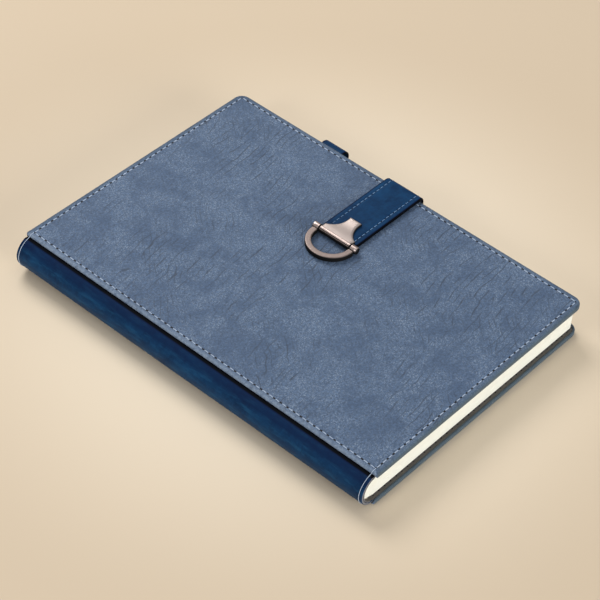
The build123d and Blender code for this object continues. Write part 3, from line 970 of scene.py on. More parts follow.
def corner_arcs(low, high, seam_round, fore_round):
    """Centre, radius and first angle of each corner, from the tail of the spine side round to its head."""
    return (
        (low[0] + seam_round, low[1] + seam_round, seam_round, 180),
        (high[0] - fore_round, low[1] + fore_round, fore_round, 270),
        (high[0] - fore_round, high[1] - fore_round, fore_round, 360),
        (low[0] + seam_round, high[1] - seam_round, seam_round, 450),
    )


def cover_bounds(inset):
    """Lowest and highest corner of a cover's outline this far in from its edge."""
    return (seam_x + inset, tail_y + inset), (fore_x - inset, head_y - inset)


def cover_ring(inset):
    """Outline of a cover this far in from its edge, and how squarely each point faces the seam."""
    rounds = [max(corner - inset, SHARPEST_CORNER) for corner in (SEAM_CORNER, FORE_CORNER)]
    arcs, square = [], []
    for x, y, radius, start in corner_arcs(*cover_bounds(inset), *rounds):
        angles = np.radians(np.linspace(start, start + 90, 9))
        arcs.append(arc_points((x, y), radius, angles))
        square.append(np.clip(-np.cos(angles), 0, 1) ** 2)
    counts = [round((fore_x - seam_x) / OUTLINE_STEP), round((head_y - tail_y) / OUTLINE_STEP)] * 2
    points, seam = [], []
    for i in range(4):
        first, last = arcs[i][-1], arcs[(i + 1) % 4][0]
        share = np.linspace(0, 1, counts[i] + 2)[1:-1, None]
        points += [arcs[i], first + (last - first) * share]
        seam += [square[i], np.full(counts[i], 1.0 if i == 3 else 0.0)]
    return np.vstack(points), np.concatenate(seam)


def row_groove(x, y):
    """How deep the stitches pull the covering in at each point."""
    pitch = sizes().stitch_pitch / MM
    (low_x, low_y), (high_x, high_y) = cover_bounds(sizes().stitch_inset / MM)
    beside = np.where((y > low_y) & (y < high_y), np.minimum(abs(x - low_x), abs(x - high_x)), OUT_OF_GROOVE)
    ends = np.where((x > low_x) & (x < high_x), np.minimum(abs(y - low_y), abs(y - high_y)), OUT_OF_GROOVE)
    along = np.where(beside < ends, y - low_y, x - low_x)
    deep = 1 + GROOVE_WAVE * np.cos(2 * math.pi * along / pitch)
    return sizes().groove_depth / MM * deep * np.exp(-(np.minimum(beside, ends) / GROOVE_WIDTH) ** 2)


def cover_shape(outer_z, inward):
    """Skin of one cover; inward is -1 for the front cover and 1 for the back cover."""
    rings, wear_and_painted_light = [], []
    for inset, depth in TURNED_EDGE + FACE_ROUND + FACE_GROOVE + FACE_MIDDLE:
        flat, seam = cover_ring(inset)
        x, y = flat.T
        deep = np.minimum(depth, cover_thick - (cover_thick - panel_thick) * seam)
        if depth < panel_thick:
            deep = deep + SEAM_SINK * seam * max(0.0, 1 - inset / SEAM_SINK_WIDTH) ** 2 + row_groove(x, y)
        if inset > SWELL_START:
            deep = deep - SWELL * min(1.0, inset / SWELL_FULL) * ripple(x, y, COVER_SWELL_SIZE)
        rings.append(np.c_[flat, outer_z + inward * deep])
        # The seam-side strip and wall are worn and painted lighter as if lit; the strips along the other
        # edges and their walls take painted shade
        near = max(0.0, 1 - inset / EDGE_STRIP_WIDTH)
        edge = near * (seam - EDGE_SHADE * (1 - seam))
        side = seam * near - SIDE_SHADE * (1 - seam)
        wear_and_painted_light.append(edge if depth < panel_thick and inset > SIDE_INSET else side)
    flat = rings[-1][:, :2]
    middle_x = (seam_x + fore_x) / 2
    axis = np.c_[np.full(len(flat), middle_x), np.clip(flat[:, 1], -MIDDLE_LINE, MIDDLE_LINE)]
    for share in FACE_INWARD:
        spot = flat + (axis - flat) * share
        deep = -SWELL * ripple(spot[:, 0], spot[:, 1], COVER_SWELL_SIZE)
        rings.append(np.c_[spot, outer_z + inward * deep])
        wear_and_painted_light.append(np.zeros(len(flat)))
    shape = Shape()
    shape.loft(rings, caps=True, wear_and_painted_light=np.array(wear_and_painted_light))
    return shape


def make_covers():
    for name, outer_z, inward, body, node in (
            ("front_cover_skin", top_z, -1, "front_cover", "front_panel"),
            ("back_cover_skin", back_low[2], 1, "book", "back_panel")):
        piece = cover_shape(outer_z, inward).build(name, brushed_cover(), sharp=50)
        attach(piece, body)
        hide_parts(node)


# Linings and endpapers

def layer(shape, low, high, corner, rounding):
    """Flat layer with rounded fore-edge corners and eased edges."""
    eased = min(rounding, (high[2] - low[2]) / 2)
    part = eased * ROUND_MIDDLE
    rings = []
    for inset, z in ((eased, low[2]), (part, low[2] + part), (0.0, low[2] + eased),
                     (0.0, high[2] - eased), (part, high[2] - part), (eased, high[2])):
        ring = []
        for x, y, radius, start in corner_arcs(low, high, SPINE_SIDE_CORNER, corner):
            angles = np.radians(np.linspace(start, start + 90, 7))
            spots = arc_points((x, y), max(radius - inset, SMALLEST_ROUND), angles)
            ring += [(*spot, z) for spot in spots]
        rings.append(ring)
    shape.loft(rings, caps=True)


def make_linings():
    corner = FORE_CORNER - RIM_WIDTH - LINING_CLEARANCE
    inner_z = front_low[2]
    pieces = (
        ("front_lining_cloth", (spine[0], front_lining_low[1], inner_z),
         (front_lining_high[0], front_lining_high[1], inner_z + lining_thick), "front_cover", "front_lining"),
        ("back_lining_cloth", back_lining_low, back_lining_high, "book", "back_lining"),
    )
    for name, low, high, body, node in pieces:
        shape = Shape()
        layer(shape, low, high, corner, LINING_ROUND)
        piece = shape.build(name, cloth_lining(), sharp=FLAT_EDGE)
        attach(piece, body)
        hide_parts(node)


def make_endpapers():
    for node, body in (("front_pastedown", "front_cover"), ("front_flyleaf", "book"),
                       ("back_flyleaf", "book"), ("back_pastedown", "book")):
        shape = Shape()
        layer(shape, *box_mm(node), SHEET_CORNER, SHEET_ROUND)
        piece = shape.build(f"{node}_sheet", ivory_paper(), sharp=FLAT_EDGE)
        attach(piece, body)
        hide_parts(node)


# Leaves

def page_sections():
    """Number, node, lowest and highest corner of each section of leaves."""
    index = 1
    while f"page_section_{index}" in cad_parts:
        node = f"page_section_{index}"
        yield index, node, *box_mm(node)
        index += 1


def fold_of(low, high):
    """Middle of a section's fold in X-Z, and its radius."""
    radius = (high[2] - low[2]) / 2
    return (low[0] + radius, (low[2] + high[2]) / 2), radius


def folded_sheet(shape, fold, radius, thick, fore, ends):
    """One folded sheet: two leaves and the fold between them."""
    angles = np.radians(np.linspace(90, 270, 9))
    inner = max(radius - thick, TIGHTEST_FOLD)
    outline = [(fore, fold[1] + radius), *arc_points(fold, radius, angles), (fore, fold[1] - radius),
               (fore, fold[1] - inner), *arc_points(fold, inner, angles[::-1]), (fore, fold[1] + inner)]
    shape.loft(along_y(outline, ends), caps=True)


def make_leaves():
    random.seed(sizes().seed)
    sheets = sizes().sheets
    gap = sizes().sheet_gap / MM
    for index, node, low, high in page_sections():
        fold, radius = fold_of(low, high)
        pitch = radius / sheets
        shape = Shape()
        for sheet in range(sheets):
            fore = high[0] - random.uniform(0.0, FORE_UNEVEN)
            ends = (low[1] + random.uniform(0.0, END_UNEVEN), high[1] - random.uniform(0.0, END_UNEVEN))
            folded_sheet(shape, fold, radius - sheet * pitch - gap / 2, pitch - gap, fore, ends)
        piece = shape.build(f"section_{index}_leaves", ivory_paper(), sharp=30)
        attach(piece, "book")
        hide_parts(node)
    make_endpapers()
    make_gauze()
    make_spine_glue()


def make_gauze():
    angles = np.radians(np.linspace(180 - GAUZE_ANGLE, 180 + GAUZE_ANGLE, 60))
    outline = [*arc_points(spine, gauze_radius, angles),
               *arc_points(spine, gauze_radius - GAUZE_THICK, angles[::-1])]
    shape = Shape()
    shape.loft(along_y(outline, np.linspace(gauze_low[1], gauze_high[1], 40)), caps=True)
    piece = shape.build("gauze_strip", gauze())
    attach(piece, "book")
    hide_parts("spine_mull")


def make_spine_glue():
    """Glue that fills the hollows between the folds and the gauze."""
    turn = np.radians(np.linspace(*FOLD_ANGLES, 13))
    folds = np.vstack([arc_points(*fold_of(low, high), turn) for _, _, low, high in page_sections()])
    x, z = (folds - spine).T
    reached = np.arctan2(z, x) % (2 * math.pi)
    angles = np.linspace(reached[-1], reached[0], len(folds))
    arc = arc_points(spine, gauze_radius - GAUZE_THICK - GLUE_CLEARANCE, angles)
    low, high = box_mm("page_section_1")
    stations = np.linspace(low[1] + GLUE_INSET, high[1] - GLUE_INSET, 12)
    shape = Shape()
    shape.loft(along_y([*folds, *arc], stations), caps=True)
    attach(shape.build("spine_glue", ivory_paper()), "book")


# Spine

def spine_ends():
    """Stations along the spine, with how far the leather is eased at each."""
    low = [(-hide_end_y + step, ease) for step, ease in SPINE_END_EASE]
    run = hide_end_y - SPINE_END_RUN
    middle = [(y, 0.0) for y in np.linspace(-run, run, 86)]
    return low + middle + [(-y, ease) for y, ease in reversed(low)]


def spine_layer(shape, inner, outer, upper, flap_end):
    """One layer of the spine from the split to its flap, above or below; its ends take the second finish."""
    angles = np.radians(np.linspace(SPLIT_ANGLE, 90, 46) if upper else np.linspace(SPLIT_ANGLE, 270, 100))
    runs = np.linspace(spine[0], flap_end, 8)[1:] if flap_end > spine[0] else []
    side = 1 if upper else -1
    x_out = spine[0] + outer * np.cos(angles)
    dip = SEAM_DIP * np.exp(-((x_out - seam_x + SEAM_DIP_OUT) / SEAM_DIP_WIDTH) ** 2)
    rounded = np.abs(np.degrees(angles) - 180) < SPINE_ROUND_ANGLE
    rings = []
    for y, ease in spine_ends():
        bumps = ripple(np.degrees(angles) * SWELL_PER_DEGREE, np.full(len(angles), y), SPINE_SWELL_SIZE)
        reach = outer - ease - dip + SWELL * bumps * rounded
        under = inner + ease * EASE_UNDER
        out = [*arc_points(spine, reach, angles), *((x, spine[1] + side * (outer - ease)) for x in runs)]
        back = [*((x, spine[1] + side * under) for x in reversed(runs)),
                *arc_points(spine, under, angles[::-1])]
        rings += along_y(out + back, [y])
    # Painted shade: a black shadow beside the cover's seam edge, and the spine darkened above and below its
    # bulge
    shade = np.exp(-((x_out - seam_x + SEAM_DARK_OUT) / SEAM_DARK_WIDTH) ** 4)
    past_bulge = np.clip((x_out - hide_low[0] - SPINE_SHADE_START) / SPINE_SHADE_RUN, 0, 1)
    shade = np.maximum(shade, SPINE_SHADE * past_bulge)
    wear_and_painted_light = np.r_[shade, np.zeros(len(rings[0]) - len(shade))]
    shape.loft(rings, caps=True, cap_slot=1, wear_and_painted_light=wear_and_painted_light)


def end_thread(shape, y, upper):
    """Thread laid round the end of the spine, from a corner of the cover's stitches to the split."""
    proud = spine_radius + THREAD_PROUD
    start = math.degrees(math.acos((seam_x - THREAD_TURN_OUT - spine[0]) / proud))
    angles = np.radians(np.linspace(start, SPLIT_ANGLE if upper else 360 - SPLIT_ANGLE, 60))
    over = [(sizes().stitch_inset / MM, THREAD_OVER_FACE), *THREAD_OVER_SEAM]
    line = np.vstack([np.array(over) + (seam_x, top_z), arc_points(spine, proud, angles)])
    if not upper:
        line[:, 1] = top_z - line[:, 1]
    radius = sizes().thread_radius / MM * END_THREAD
    ahead = np.gradient(line, axis=0)
    ahead /= np.linalg.norm(ahead, axis=1)[:, None]
    lift, aside = radius * np.cos(circle(8)), radius * np.sin(circle(8))
    rings = [np.c_[x - ahead_z * lift, y + aside, z + ahead_x * lift]
             for (x, z), (ahead_x, ahead_z) in zip(line, ahead)]
    shape.loft(rings, caps=True)


def bend_cover_crease(piece):
    """Bakes the placement of a piece of the spine's upper side into its mesh."""
    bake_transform(piece)


def make_spine():
    hide_inner = spine_radius - hide_thick
    lining_inner = hide_inner - lining_thick
    layers = (
        ("spine_hide", hide_inner, spine_radius, False, flap_x, "spine_leather", "navy_leather"),
        ("crease_hide", hide_inner, spine_radius, True, flap_x, "front_hinge_flap", "navy_leather"),
        ("spine_liner", lining_inner, hide_inner, False, spine[0], "spine_lining", "lining_cloth"),
        ("crease_liner", lining_inner, hide_inner, True, spine[0], None, "lining_cloth"),
    )
    for name, inner, outer, upper, flap_end, node, slot in layers:
        shape = Shape()
        spine_layer(shape, inner, outer, upper, flap_end)
        first = streaked_navy() if slot == "navy_leather" else cloth_lining()
        piece = shape.build(name, first, raw_edge(), sharp=45)
        if upper:
            bend_cover_crease(piece)
        else:
            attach(piece, "book")
        if node:
            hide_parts(node)
    inset = sizes().stitch_inset / MM
    for name, upper in (("spine_end_thread", False), ("crease_end_thread", True)):
        shape = Shape()
        for y in (tail_y + inset, head_y - inset):
            end_thread(shape, y, upper)
        piece = shape.build(name, thread("thread_pale", colours().thread_pale))
        if upper:
            bend_cover_crease(piece)
        else:
            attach(piece, "book")


# Stitching

def sew(threads, hole_shades, place, count, radius, hole):
    """A row of stitches; place gives the point and outward direction at a number of pitches along it."""
    def axes(number):
        spot, up = place(number)
        ahead = place(number + STITCH_AHEAD)[0] - spot
        ahead = ahead / np.linalg.norm(ahead)
        return spot, up, ahead, np.cross(ahead, up)

    for index in range(count):
        shift = random.uniform(-STITCH_SHIFT, STITCH_SHIFT)
        tip = random.uniform(*STITCH_TIP)
        rings = []
        for share in np.linspace(0, 1, 9):
            spot, up, _, across = axes(index + STITCH_START + STITCH_SPAN * share)
            arch = math.sin(math.pi * share)
            lift = radius * STITCH_ARCH * arch**0.55 * tip - radius * STITCH_SUNK
            centre = spot + up * lift + across * (shift + STITCH_LEAN * (share - 0.5))
            thin = radius * (STITCH_THIN + (1 - STITCH_THIN) * arch**0.5)
            rings.append([centre + thin * (math.cos(a) * across * STITCH_WIDE + math.sin(a) * up)
                          for a in circle(8)])
        threads.loft(rings, caps=True)
    # Each needle hole is a small raised disc of near-black painted shade
    for index in range(count + 1):
        spot, up, ahead, across = axes(index)
        size = hole * random.uniform(*HOLE_SIZE)
        rings = []
        for share, lift in HOLE_RINGS:
            rim = size * share
            rings.append([spot + up * lift + rim * (math.cos(a) * ahead + HOLE_OVAL * math.sin(a) * across)
                          for a in circle(10)])
        hole_shades.loft(rings, caps=True)


def straight_row(first, last, z, up, groove):
    """Place of the stitches on a straight row, and their count."""
    first, last = np.array([*first, z], float), np.array([*last, z], float)
    count = max(1, round(np.linalg.norm(last - first) / (sizes().stitch_pitch / MM)))
    up = np.array([0.0, 0.0, up])

    def place(number):
        return first + (last - first) * number / count - up * groove, up

    return place, count


def make_cover_stitches():
    random.seed(sizes().seed + 1)
    inset = sizes().stitch_inset / MM
    groove = sizes().groove_depth / MM
    pale = thread("thread_pale", colours().thread_pale)
    dim = thread("thread_dark", colours().thread_dark)
    lined = (inset - LINING_ROW_OUT, 3, dim, LINING_STITCH, LINING_STITCH_DEPTH)
    faces = (
        ("front_cover", "front_cover", top_z, 1, inset, 4, pale, 1.0, groove),
        ("back_cover", "book", back_low[2], -1, inset, 4, pale, 1.0, groove + BACK_STITCH_DEPTH),
        ("front_lining", "front_cover", front_low[2], -1, *lined),
        ("back_lining", "book", back_high[2], 1, *lined),
    )
    for name, body, z, up, row, sides, yarn, scale, deep in faces:
        threads, hole_shades = Shape(), Shape()
        (low_x, low_y), (high_x, high_y) = cover_bounds(row)
        corners = [(low_x, low_y), (high_x, low_y), (high_x, high_y), (low_x, high_y)]
        for side in range(sides):
            place, count = straight_row(corners[side], corners[(side + 1) % 4], z, up, deep)
            sew(threads, hole_shades, place, count, sizes().thread_radius / MM * scale,
                sizes().hole_radius / MM * scale)
        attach(threads.build(f"{name}_stitches", yarn), body)
        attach(hole_shades.build(f"{name}_needle_hole_shades", needle_dark()), body)


# Strap

def strap_route():
    """Middle of the strap's outer leather, from its tail in the back cover to its end on the front."""
    half = strap_thick / 2
    side_x = side_high[0] - half
    flap_z = strap_high[2] - half
    low_centre = (side_high[0] - LOW_BEND, tail_low[2] + LOW_BEND)
    top_centre = (fore_x - TOP_BEND_EASE, top_z - TOP_BEND_EASE)
    tail_z = tail_low[2] + half
    return Route(
        Route.run((tail_low[0], tail_z), (low_centre[0], tail_z)),
        Route.arc(low_centre, LOW_BEND - half, -90, 0),
        Route.run((side_x, low_centre[1]), (side_x, top_centre[1])),
        Route.arc(top_centre, side_x - top_centre[0], 0, 90),
        Route.run((top_centre[0], flap_z), (strap_low[0], flap_z)),
    )


def strap_bends(route):
    """Distances along the strap of its lining's start, of the middle of its side and of its end."""
    low_end = sum(route.lengths[:2])
    return low_end, low_end + route.lengths[2] / 2, route.total


def bend_strap(piece, upper):
    """Bakes the placement of one half of the strap into its mesh."""
    if upper:
        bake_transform(piece)
    else:
        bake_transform(piece)


def make_strap():
    random.seed(sizes().seed + 2)
    route = strap_route()
    lining_start, split, end = strap_bends(route)
    row = strap_half - sizes().strap_inset / MM
    half = strap_thick / 2
    outer = band_section(strap_half, -half, half, STRAP_ROUND, STRAP_CROWN, (row, STRAP_GROOVE, GROOVE_WIDTH))
    inner = band_section(strap_half - STRAP_LINING_IN, -half - strap_lining, -half, STRAP_LINING_ROUND)

    def narrowed(points):
        def section(distance):
            into = STRAP_END_CORNER - min(STRAP_END_CORNER, end - distance)
            cut = STRAP_END_CORNER - math.sqrt(max(0.0, STRAP_END_CORNER**2 - into**2))
            share = (strap_half - cut) / strap_half
            return [(across * share, out) for across, out in points]
        return section

    for name, upper, low, high, nodes in (
            ("strap_lower", False, 0.0, split, ("strap_tail", "strap_side_outer", "strap_side_lining")),
            ("strap_upper", True, split, end, ("strap_flap_outer", "strap_flap_lining"))):
        stops = route.stops(STRAP_STEP, low, high)
        if upper:
            stops = sorted(set(stops) | set(end - np.array(STRAP_END_STOPS)))
        lined = [stop for stop in stops if stop >= lining_start]
        shape = Shape()
        for section, spots in ((outer, stops), (inner, lined)):
            rings = strip(route, spots, narrowed(section), strap_y)
            # The strap's edges darken: partly the leather's own dark edge, partly painted shade
            shape.loft(rings, caps=True, wear_and_painted_light=edge_shade(section, strap_half, *STRAP_DARK_EDGE), start=low)
        piece = shape.build(name, smooth_navy())
        bend_strap(piece, upper)
        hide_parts(*nodes)
    make_strap_stitches(route, row, half)


def make_strap_stitches(route, row, half):
    lining_start, split, end = strap_bends(route)
    pitch = sizes().strap_pitch / MM
    spans = (("lower", lining_start - STRAP_SEWN_EARLY, split), ("upper", split, end - STRAP_SEWN_SHORT))
    blue = thread("thread_blue", colours().thread_blue)
    for part, low, high in spans:
        threads, hole_shades = Shape(), Shape()
        count = round((high - low) / pitch)
        for side in (-1, 1):
            def place(number):
                spot, ahead = route.at(low + (high - low) * number / count)
                up = np.array([ahead[1], 0.0, -ahead[0]])
                surface = np.array([spot[0], strap_y + side * row, spot[1]])
                return surface + up * (half - STRAP_GROOVE), up

            sew(threads, hole_shades, place, count, STRAP_THREAD, STRAP_HOLE)
        bend_strap(threads.build(f"strap_{part}_stitches", blue), part == "upper")
        bend_strap(hole_shades.build(f"strap_{part}_needle_hole_shades", needle_dark()), part == "upper")


# Buckle

def plate_half(x):
    """Half the plate's width at a distance from the barrel's axis."""
    if x <= PLATE_SHOULDER:
        return plate_root
    start = np.array([PLATE_SHOULDER, plate_root])
    end = np.array([plate_high[0] - barrel_x, PLATE_TIP_HALF])
    chord = end - start
    size = np.linalg.norm(chord)
    radius = (size**2 / 4 + PLATE_FLARE**2) / (2 * PLATE_FLARE)
    outward = np.array([-chord[1], chord[0]]) / size
    centre = (start + end) / 2 + outward * (radius - PLATE_FLARE)
    return centre[1] - math.sqrt(radius**2 - (x - centre[0]) ** 2)


def make_plate():
    base_z = strap_high[2]
    thick = plate_high[2] - base_z
    reach = plate_high[0] - barrel_x
    stations = np.r_[np.linspace(PLATE_START, PLATE_SHOULDER, 8),
                     np.linspace(PLATE_SHOULDER, reach - PLATE_TIP_RUN, 40)[1:], reach - PLATE_EDGE_IN[::-1]]
    rings, wear_and_painted_light = [], []
    for x in stations:
        half = plate_half(x)
        along = np.clip((x - PLATE_HOLLOW_START) / (reach - PLATE_HOLLOW_START), 0, 1)
        top = thick - PLATE_CROWN - PLATE_HOLLOW * (1 - math.cos(2 * math.pi * along))
        side = np.r_[PLATE_EDGE_IN, np.linspace(PLATE_EDGE_IN[-1], half, 9)[1:]]
        across = np.r_[-half + side, (half - side)[-2::-1]]
        drop = np.interp(half - np.abs(across), PLATE_EDGE_IN, PLATE_EDGE_DROP)
        drop = np.maximum(drop, np.interp(reach - x, PLATE_EDGE_IN, PLATE_EDGE_DROP))
        up = top + PLATE_CROWN * (1 - (across / half) ** 2) - drop
        low = [(half, PLATE_SIDE), (half, 0.0), (-half, 0.0), (-half, PLATE_SIDE)]
        ring = np.vstack([np.c_[across, up], low])
        rings.append(np.c_[np.full(len(ring), barrel_x + x), strap_y + ring[:, 0], base_z + ring[:, 1]])
        # Painted highlight along the bevel, painted shade on the steep edge and on the sides
        shine = -np.exp(-((drop - PLATE_HIGHLIGHT_DROP) / PLATE_HIGHLIGHT_DROP) ** 2)
        wear_and_painted_light.append(np.r_[np.where(drop > PLATE_SHADE_DROP, 1.0, shine), np.ones(len(low))])
    shape = Shape()
    shape.loft(rings, caps=True, wear_and_painted_light=np.array(wear_and_painted_light))
    add_barrel(shape)
    shade_sides(shape)
    piece = shape.build("buckle_plate_body", satin_buckle(), sharp=40)
    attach(piece, "strap_flap")
    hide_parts("buckle_plate")


def add_barrel(shape):
    """Tube that the pin passes through, with the line where its metal curls round to meet the plate."""
    angles = np.sort(np.r_[np.linspace(0, 360, 72, endpoint=False), CURL_ANGLE + CURL_EDGES])
    notch = CURL_DEPTH * np.exp(-((angles - CURL_ANGLE) / CURL_WIDTH) ** 6)
    across, up = np.cos(np.radians(angles)), np.sin(np.radians(angles))

    def ring(y, reach):
        return np.c_[barrel_x + reach * across, np.full(len(angles), strap_y + y), barrel_z + reach * up]

    ends = [(-plate_root, BARREL_ROUND, 1.0), (-plate_root + BARREL_ROUND, 0.0, 1.0),
            (-plate_root + BARREL_END, 0.0, 0.0), (0.0, 0.0, 0.0)]
    ends += [(-y, ease, dark) for y, ease, dark in reversed(ends[:-1])]
    bore = np.full(len(angles), pin_radius + BARREL_BORE)
    rings = [ring(-plate_root, bore)] + [ring(y, barrel_radius - ease - notch) for y, ease, _ in ends]
    rings += [ring(plate_root, bore), ring(-plate_root, bore)]
    dark = np.array([1.0, *(dark for _, _, dark in ends), 1.0, 1.0])
    # Painted shade: the barrel's ends and bore, the groove of its curl, and its lower front half, which goes
    # black
    under = np.where(across < 0, np.clip((BARREL_SHADE_TOP - barrel_radius * up) / BARREL_SHADE_RUN, 0, 1), 0)
    curl_shade = np.clip(notch / BARREL_SHADE_RUN, 0, 1)
    shape.loft(rings, wear_and_painted_light=np.maximum(dark[:, None], np.maximum(curl_shade, under)))


def shade_sides(shape):
    """Paints shade on what lies below the upper faces, darker the lower it lies."""
    points = np.array(shape.points)
    below = np.clip((barrel_z + SIDE_SHADE_TOP - points[:, 2]) / SIDE_SHADE_RUN, 0, 1)
    shape.wear_and_painted_light = np.where(below > 0, np.maximum(shape.wear_and_painted_light, below), shape.wear_and_painted_light).tolist()


def make_ring():
    shape = Shape()
    middle_x = barrel_x - RING_SET
    base_z = barrel_z - RING_DROP - RING_THICK / 2
    leg_x = barrel_x - barrel_radius - NECK_GAP
    bow_radius = middle_x - ring_low[0] - RING_BAND / 2
    add_bow(shape, middle_x, base_z, leg_x, bow_radius)
    start = plate_root + KNUCKLE_GAP
    bore = pin_radius + RING_BORE
    # Each point gives y, radius and painted light: the knuckle's ends take painted shade, and a painted
    # highlight runs near its outer rim
    profile = [
        (0.0, bore, 1.0), (0.0, barrel_radius - 0.15, 1.0), (0.12, barrel_radius, 1.0),
        (0.38, barrel_radius, 0.9), (0.5, barrel_radius, 0.0), (2.6, barrel_radius, 0.0),
        (KNUCKLE_LENGTH - 0.4, barrel_radius - 0.05, -0.5),
        (KNUCKLE_LENGTH - 0.14, barrel_radius - 0.16, 0.2),
        (KNUCKLE_LENGTH, barrel_radius - 0.42, 1.0), (KNUCKLE_LENGTH, bore, 1.0),
    ]
    neck = band_section(RING_BAND / 2 - NECK_IN, NECK_IN, RING_THICK - NECK_IN, NECK_ROUND)
    neck_x = (leg_x + NECK_STARTS, leg_x + NECK_TURNS, barrel_x - bore + NECK_STOPS)
    for side in (-1, 1):
        turned(shape, [(strap_y + side * (start + y), r, dark) for y, r, dark in profile], barrel_x, barrel_z)
        neck_y = strap_y + side * (start + RING_BAND / 2)
        # The neck takes painted shade all over
        shape.loft([[(x, neck_y + across, base_z + up) for across, up in neck]
                    for x in neck_x], caps=True, wear_and_painted_light=1.0)
    shade_sides(shape)
    piece = shape.build("ring_body", satin_buckle(), sharp=32)
    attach(piece, "ring")
    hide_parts("d_ring")


def add_bow(shape, middle_x, base_z, leg_x, radius):
    """Ring's bow with its two short legs, with painted highlights near the edges of its upper face and
    painted shade on its sides.
    """
    legs = [(leg_x - (leg_x - middle_x) * share, radius, 0.0, 1.0) for share in (0.0, 0.5)]
    bow = [(middle_x + radius * math.cos(a), radius * math.sin(a), math.cos(a), math.sin(a))
           for a in np.radians(np.linspace(90, 270, 64))]
    path = legs + bow + [(x, -y, out_x, -out_y) for x, y, out_x, out_y in reversed(legs)]
    section = band_section(RING_BAND / 2, 0.0, RING_THICK, RING_ROUND, RING_CROWN)
    rings = [[(x + across * out_x, strap_y + y + across * out_y, base_z + up) for across, up in section]
             for x, y, out_x, out_y in path]
    across, face = np.array(section).T
    shine = np.exp(-((np.abs(across) - RING_BAND / 2 + RING_SHINE_IN) / RING_SHINE_WIDTH) ** 4)
    # Painted shade on the sides; the upper face is darkened by the ring's tone, with a painted highlight near
    # its edges
    wear_and_painted_light = np.where(face < RING_THICK - RING_SIDE, 1.0, RING_TONE - (RING_TONE + RING_SHINE) * shine)
    shape.loft(rings, caps=True, wear_and_painted_light=wear_and_painted_light)


# Pen loop

def loop_route():
    """Middle of the loop's strip, from its tail in the back cover round the pen and down to its foot."""
    middle = (loop_high[0] - LOOP_RADIUS, loop_high[2] - LOOP_RADIUS)
    radius = LOOP_RADIUS - LOOP_THICK / 2
    outer_x = middle[0] - radius
    inner_x = outer_x + LOOP_THICK
    low_z = loop_low[2] + LOOP_THICK * LOOP_TAIL_RISE
    back = arc_points(middle, radius, np.radians([LOOP_BACK_ANGLE]))[0]
    tucked = (inner_x, back[1] - LOOP_TUCK)
    return Route(
        Route.run((loop_low[0], low_z), (outer_x - LOOP_BEND, low_z)),
        Route.arc((outer_x - LOOP_BEND, low_z + LOOP_BEND), LOOP_BEND, -90, 0),
        Route.run((outer_x, low_z + LOOP_BEND), (outer_x, middle[1])),
        Route.arc(middle, radius, 180, LOOP_BACK_ANGLE - 360),
        Route.run(back, tucked),
        Route.run(tucked, (inner_x, low_z + LOOP_FOOT)),
    )


def make_pen_loop():
    route = loop_route()
    width = (loop_high[1] - loop_low[1]) / 2
    half = LOOP_THICK / 2 - LOOP_EASE
    section = band_section(width, -half, half, LOOP_ROUND, LOOP_CROWN)
    rings = strip(route, route.stops(LOOP_STEP), lambda distance: section, (loop_low[1] + loop_high[1]) / 2)
    shape = Shape()
    # The loop's edges darken: partly the leather's own dark edge, partly painted shade
    shape.loft(rings, caps=True, wear_and_painted_light=edge_shade(section, width, *LOOP_DARK_EDGE))
    piece = shape.build("pen_loop_strip", smooth_navy())
    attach(piece, "book")
    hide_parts("pen_loop")


# Pieces kept from the solids

def finish_solids():
    finishes = {
        "front_board": grey_board, "back_board": grey_board, "cover_magnet": plain_metal,
        "strap_magnet": plain_metal, "buckle_rivets": plain_metal, "hinge_pin": plain_metal,
    }
    for name, make in finishes.items():
        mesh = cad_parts[name].data
        mesh.materials.clear()
        mesh.materials.append(make())


# Stage

# The camera's places are in metres, its roll in degrees and its lens in millimetres
CAMERA_PLACE = (-0.57603, -0.46207, 0.70952)
CAMERA_AIM = (-0.00474, -0.00337, 0.00402)
CAMERA_ROLL = 4.22
CAMERA_LENS = 130.25

# Each lamp's name, place, power in watts, width in metres and tint
LAMPS = (
    ("key", (0.32, 1.00, 1.15), 14.5, 0.9, (1.0, 0.98, 0.95)),
    ("tail", (-0.40, -2.60, 0.60), 66.0, 1.8, (1.0, 1.0, 0.97)),
    ("fill", (-1.10, 0.10, 0.70), 3.0, 0.4, (0.95, 0.98, 1.0)),
)
SKY_LOW = (0.24, 0.22, 0.20, 1)
SKY_HIGH = (0.42, 0.42, 0.43, 1)
SKY_RISE = (-0.2, 1.0)

# The floor, in millimetres, which ends short of the tail lamp
FLOOR_REACH = 4000
FLOOR_TAIL = -1500
FLOOR_Z = -0.3
FLOOR_POINTS = 41


def facing(place, aim, roll=0.0):
    """Placement of a lamp or camera that looks from one point at another."""
    ahead = (Vector(aim) - Vector(place)).normalized()
    level = ahead.cross(Vector((0, 0, 1))).normalized()
    rise = level.cross(ahead)
    turn = math.radians(roll)
    right = level * math.cos(turn) + rise * math.sin(turn)
    up = right.cross(ahead)
    return Matrix.Translation(place) @ Matrix((right, up, -ahead)).transposed().to_4x4()


def put(name, data, placement):
    """Adds a lamp or camera to the scene."""
    piece = bpy.data.objects.new(name, data)
    piece.matrix_world = placement
    bpy.context.scene.collection.objects.link(piece)
    return piece


def make_lamp(name, place, power, size, tint):
    lamp = bpy.data.lights.new(name, "AREA")
    lamp.energy = power
    lamp.shape = "DISK"
    lamp.size = size
    lamp.color = tint
    put(name, lamp, facing(place, (0, 0, 0)))


def make_floor():
    across = np.linspace(-FLOOR_REACH, FLOOR_REACH, FLOOR_POINTS)
    along = np.linspace(FLOOR_TAIL, FLOOR_REACH, FLOOR_POINTS)
    shape = Shape()
    shape.loft(along_y([(x, FLOOR_Z) for x in across], along), closed=False)
    shape.build("floor", pale_floor())


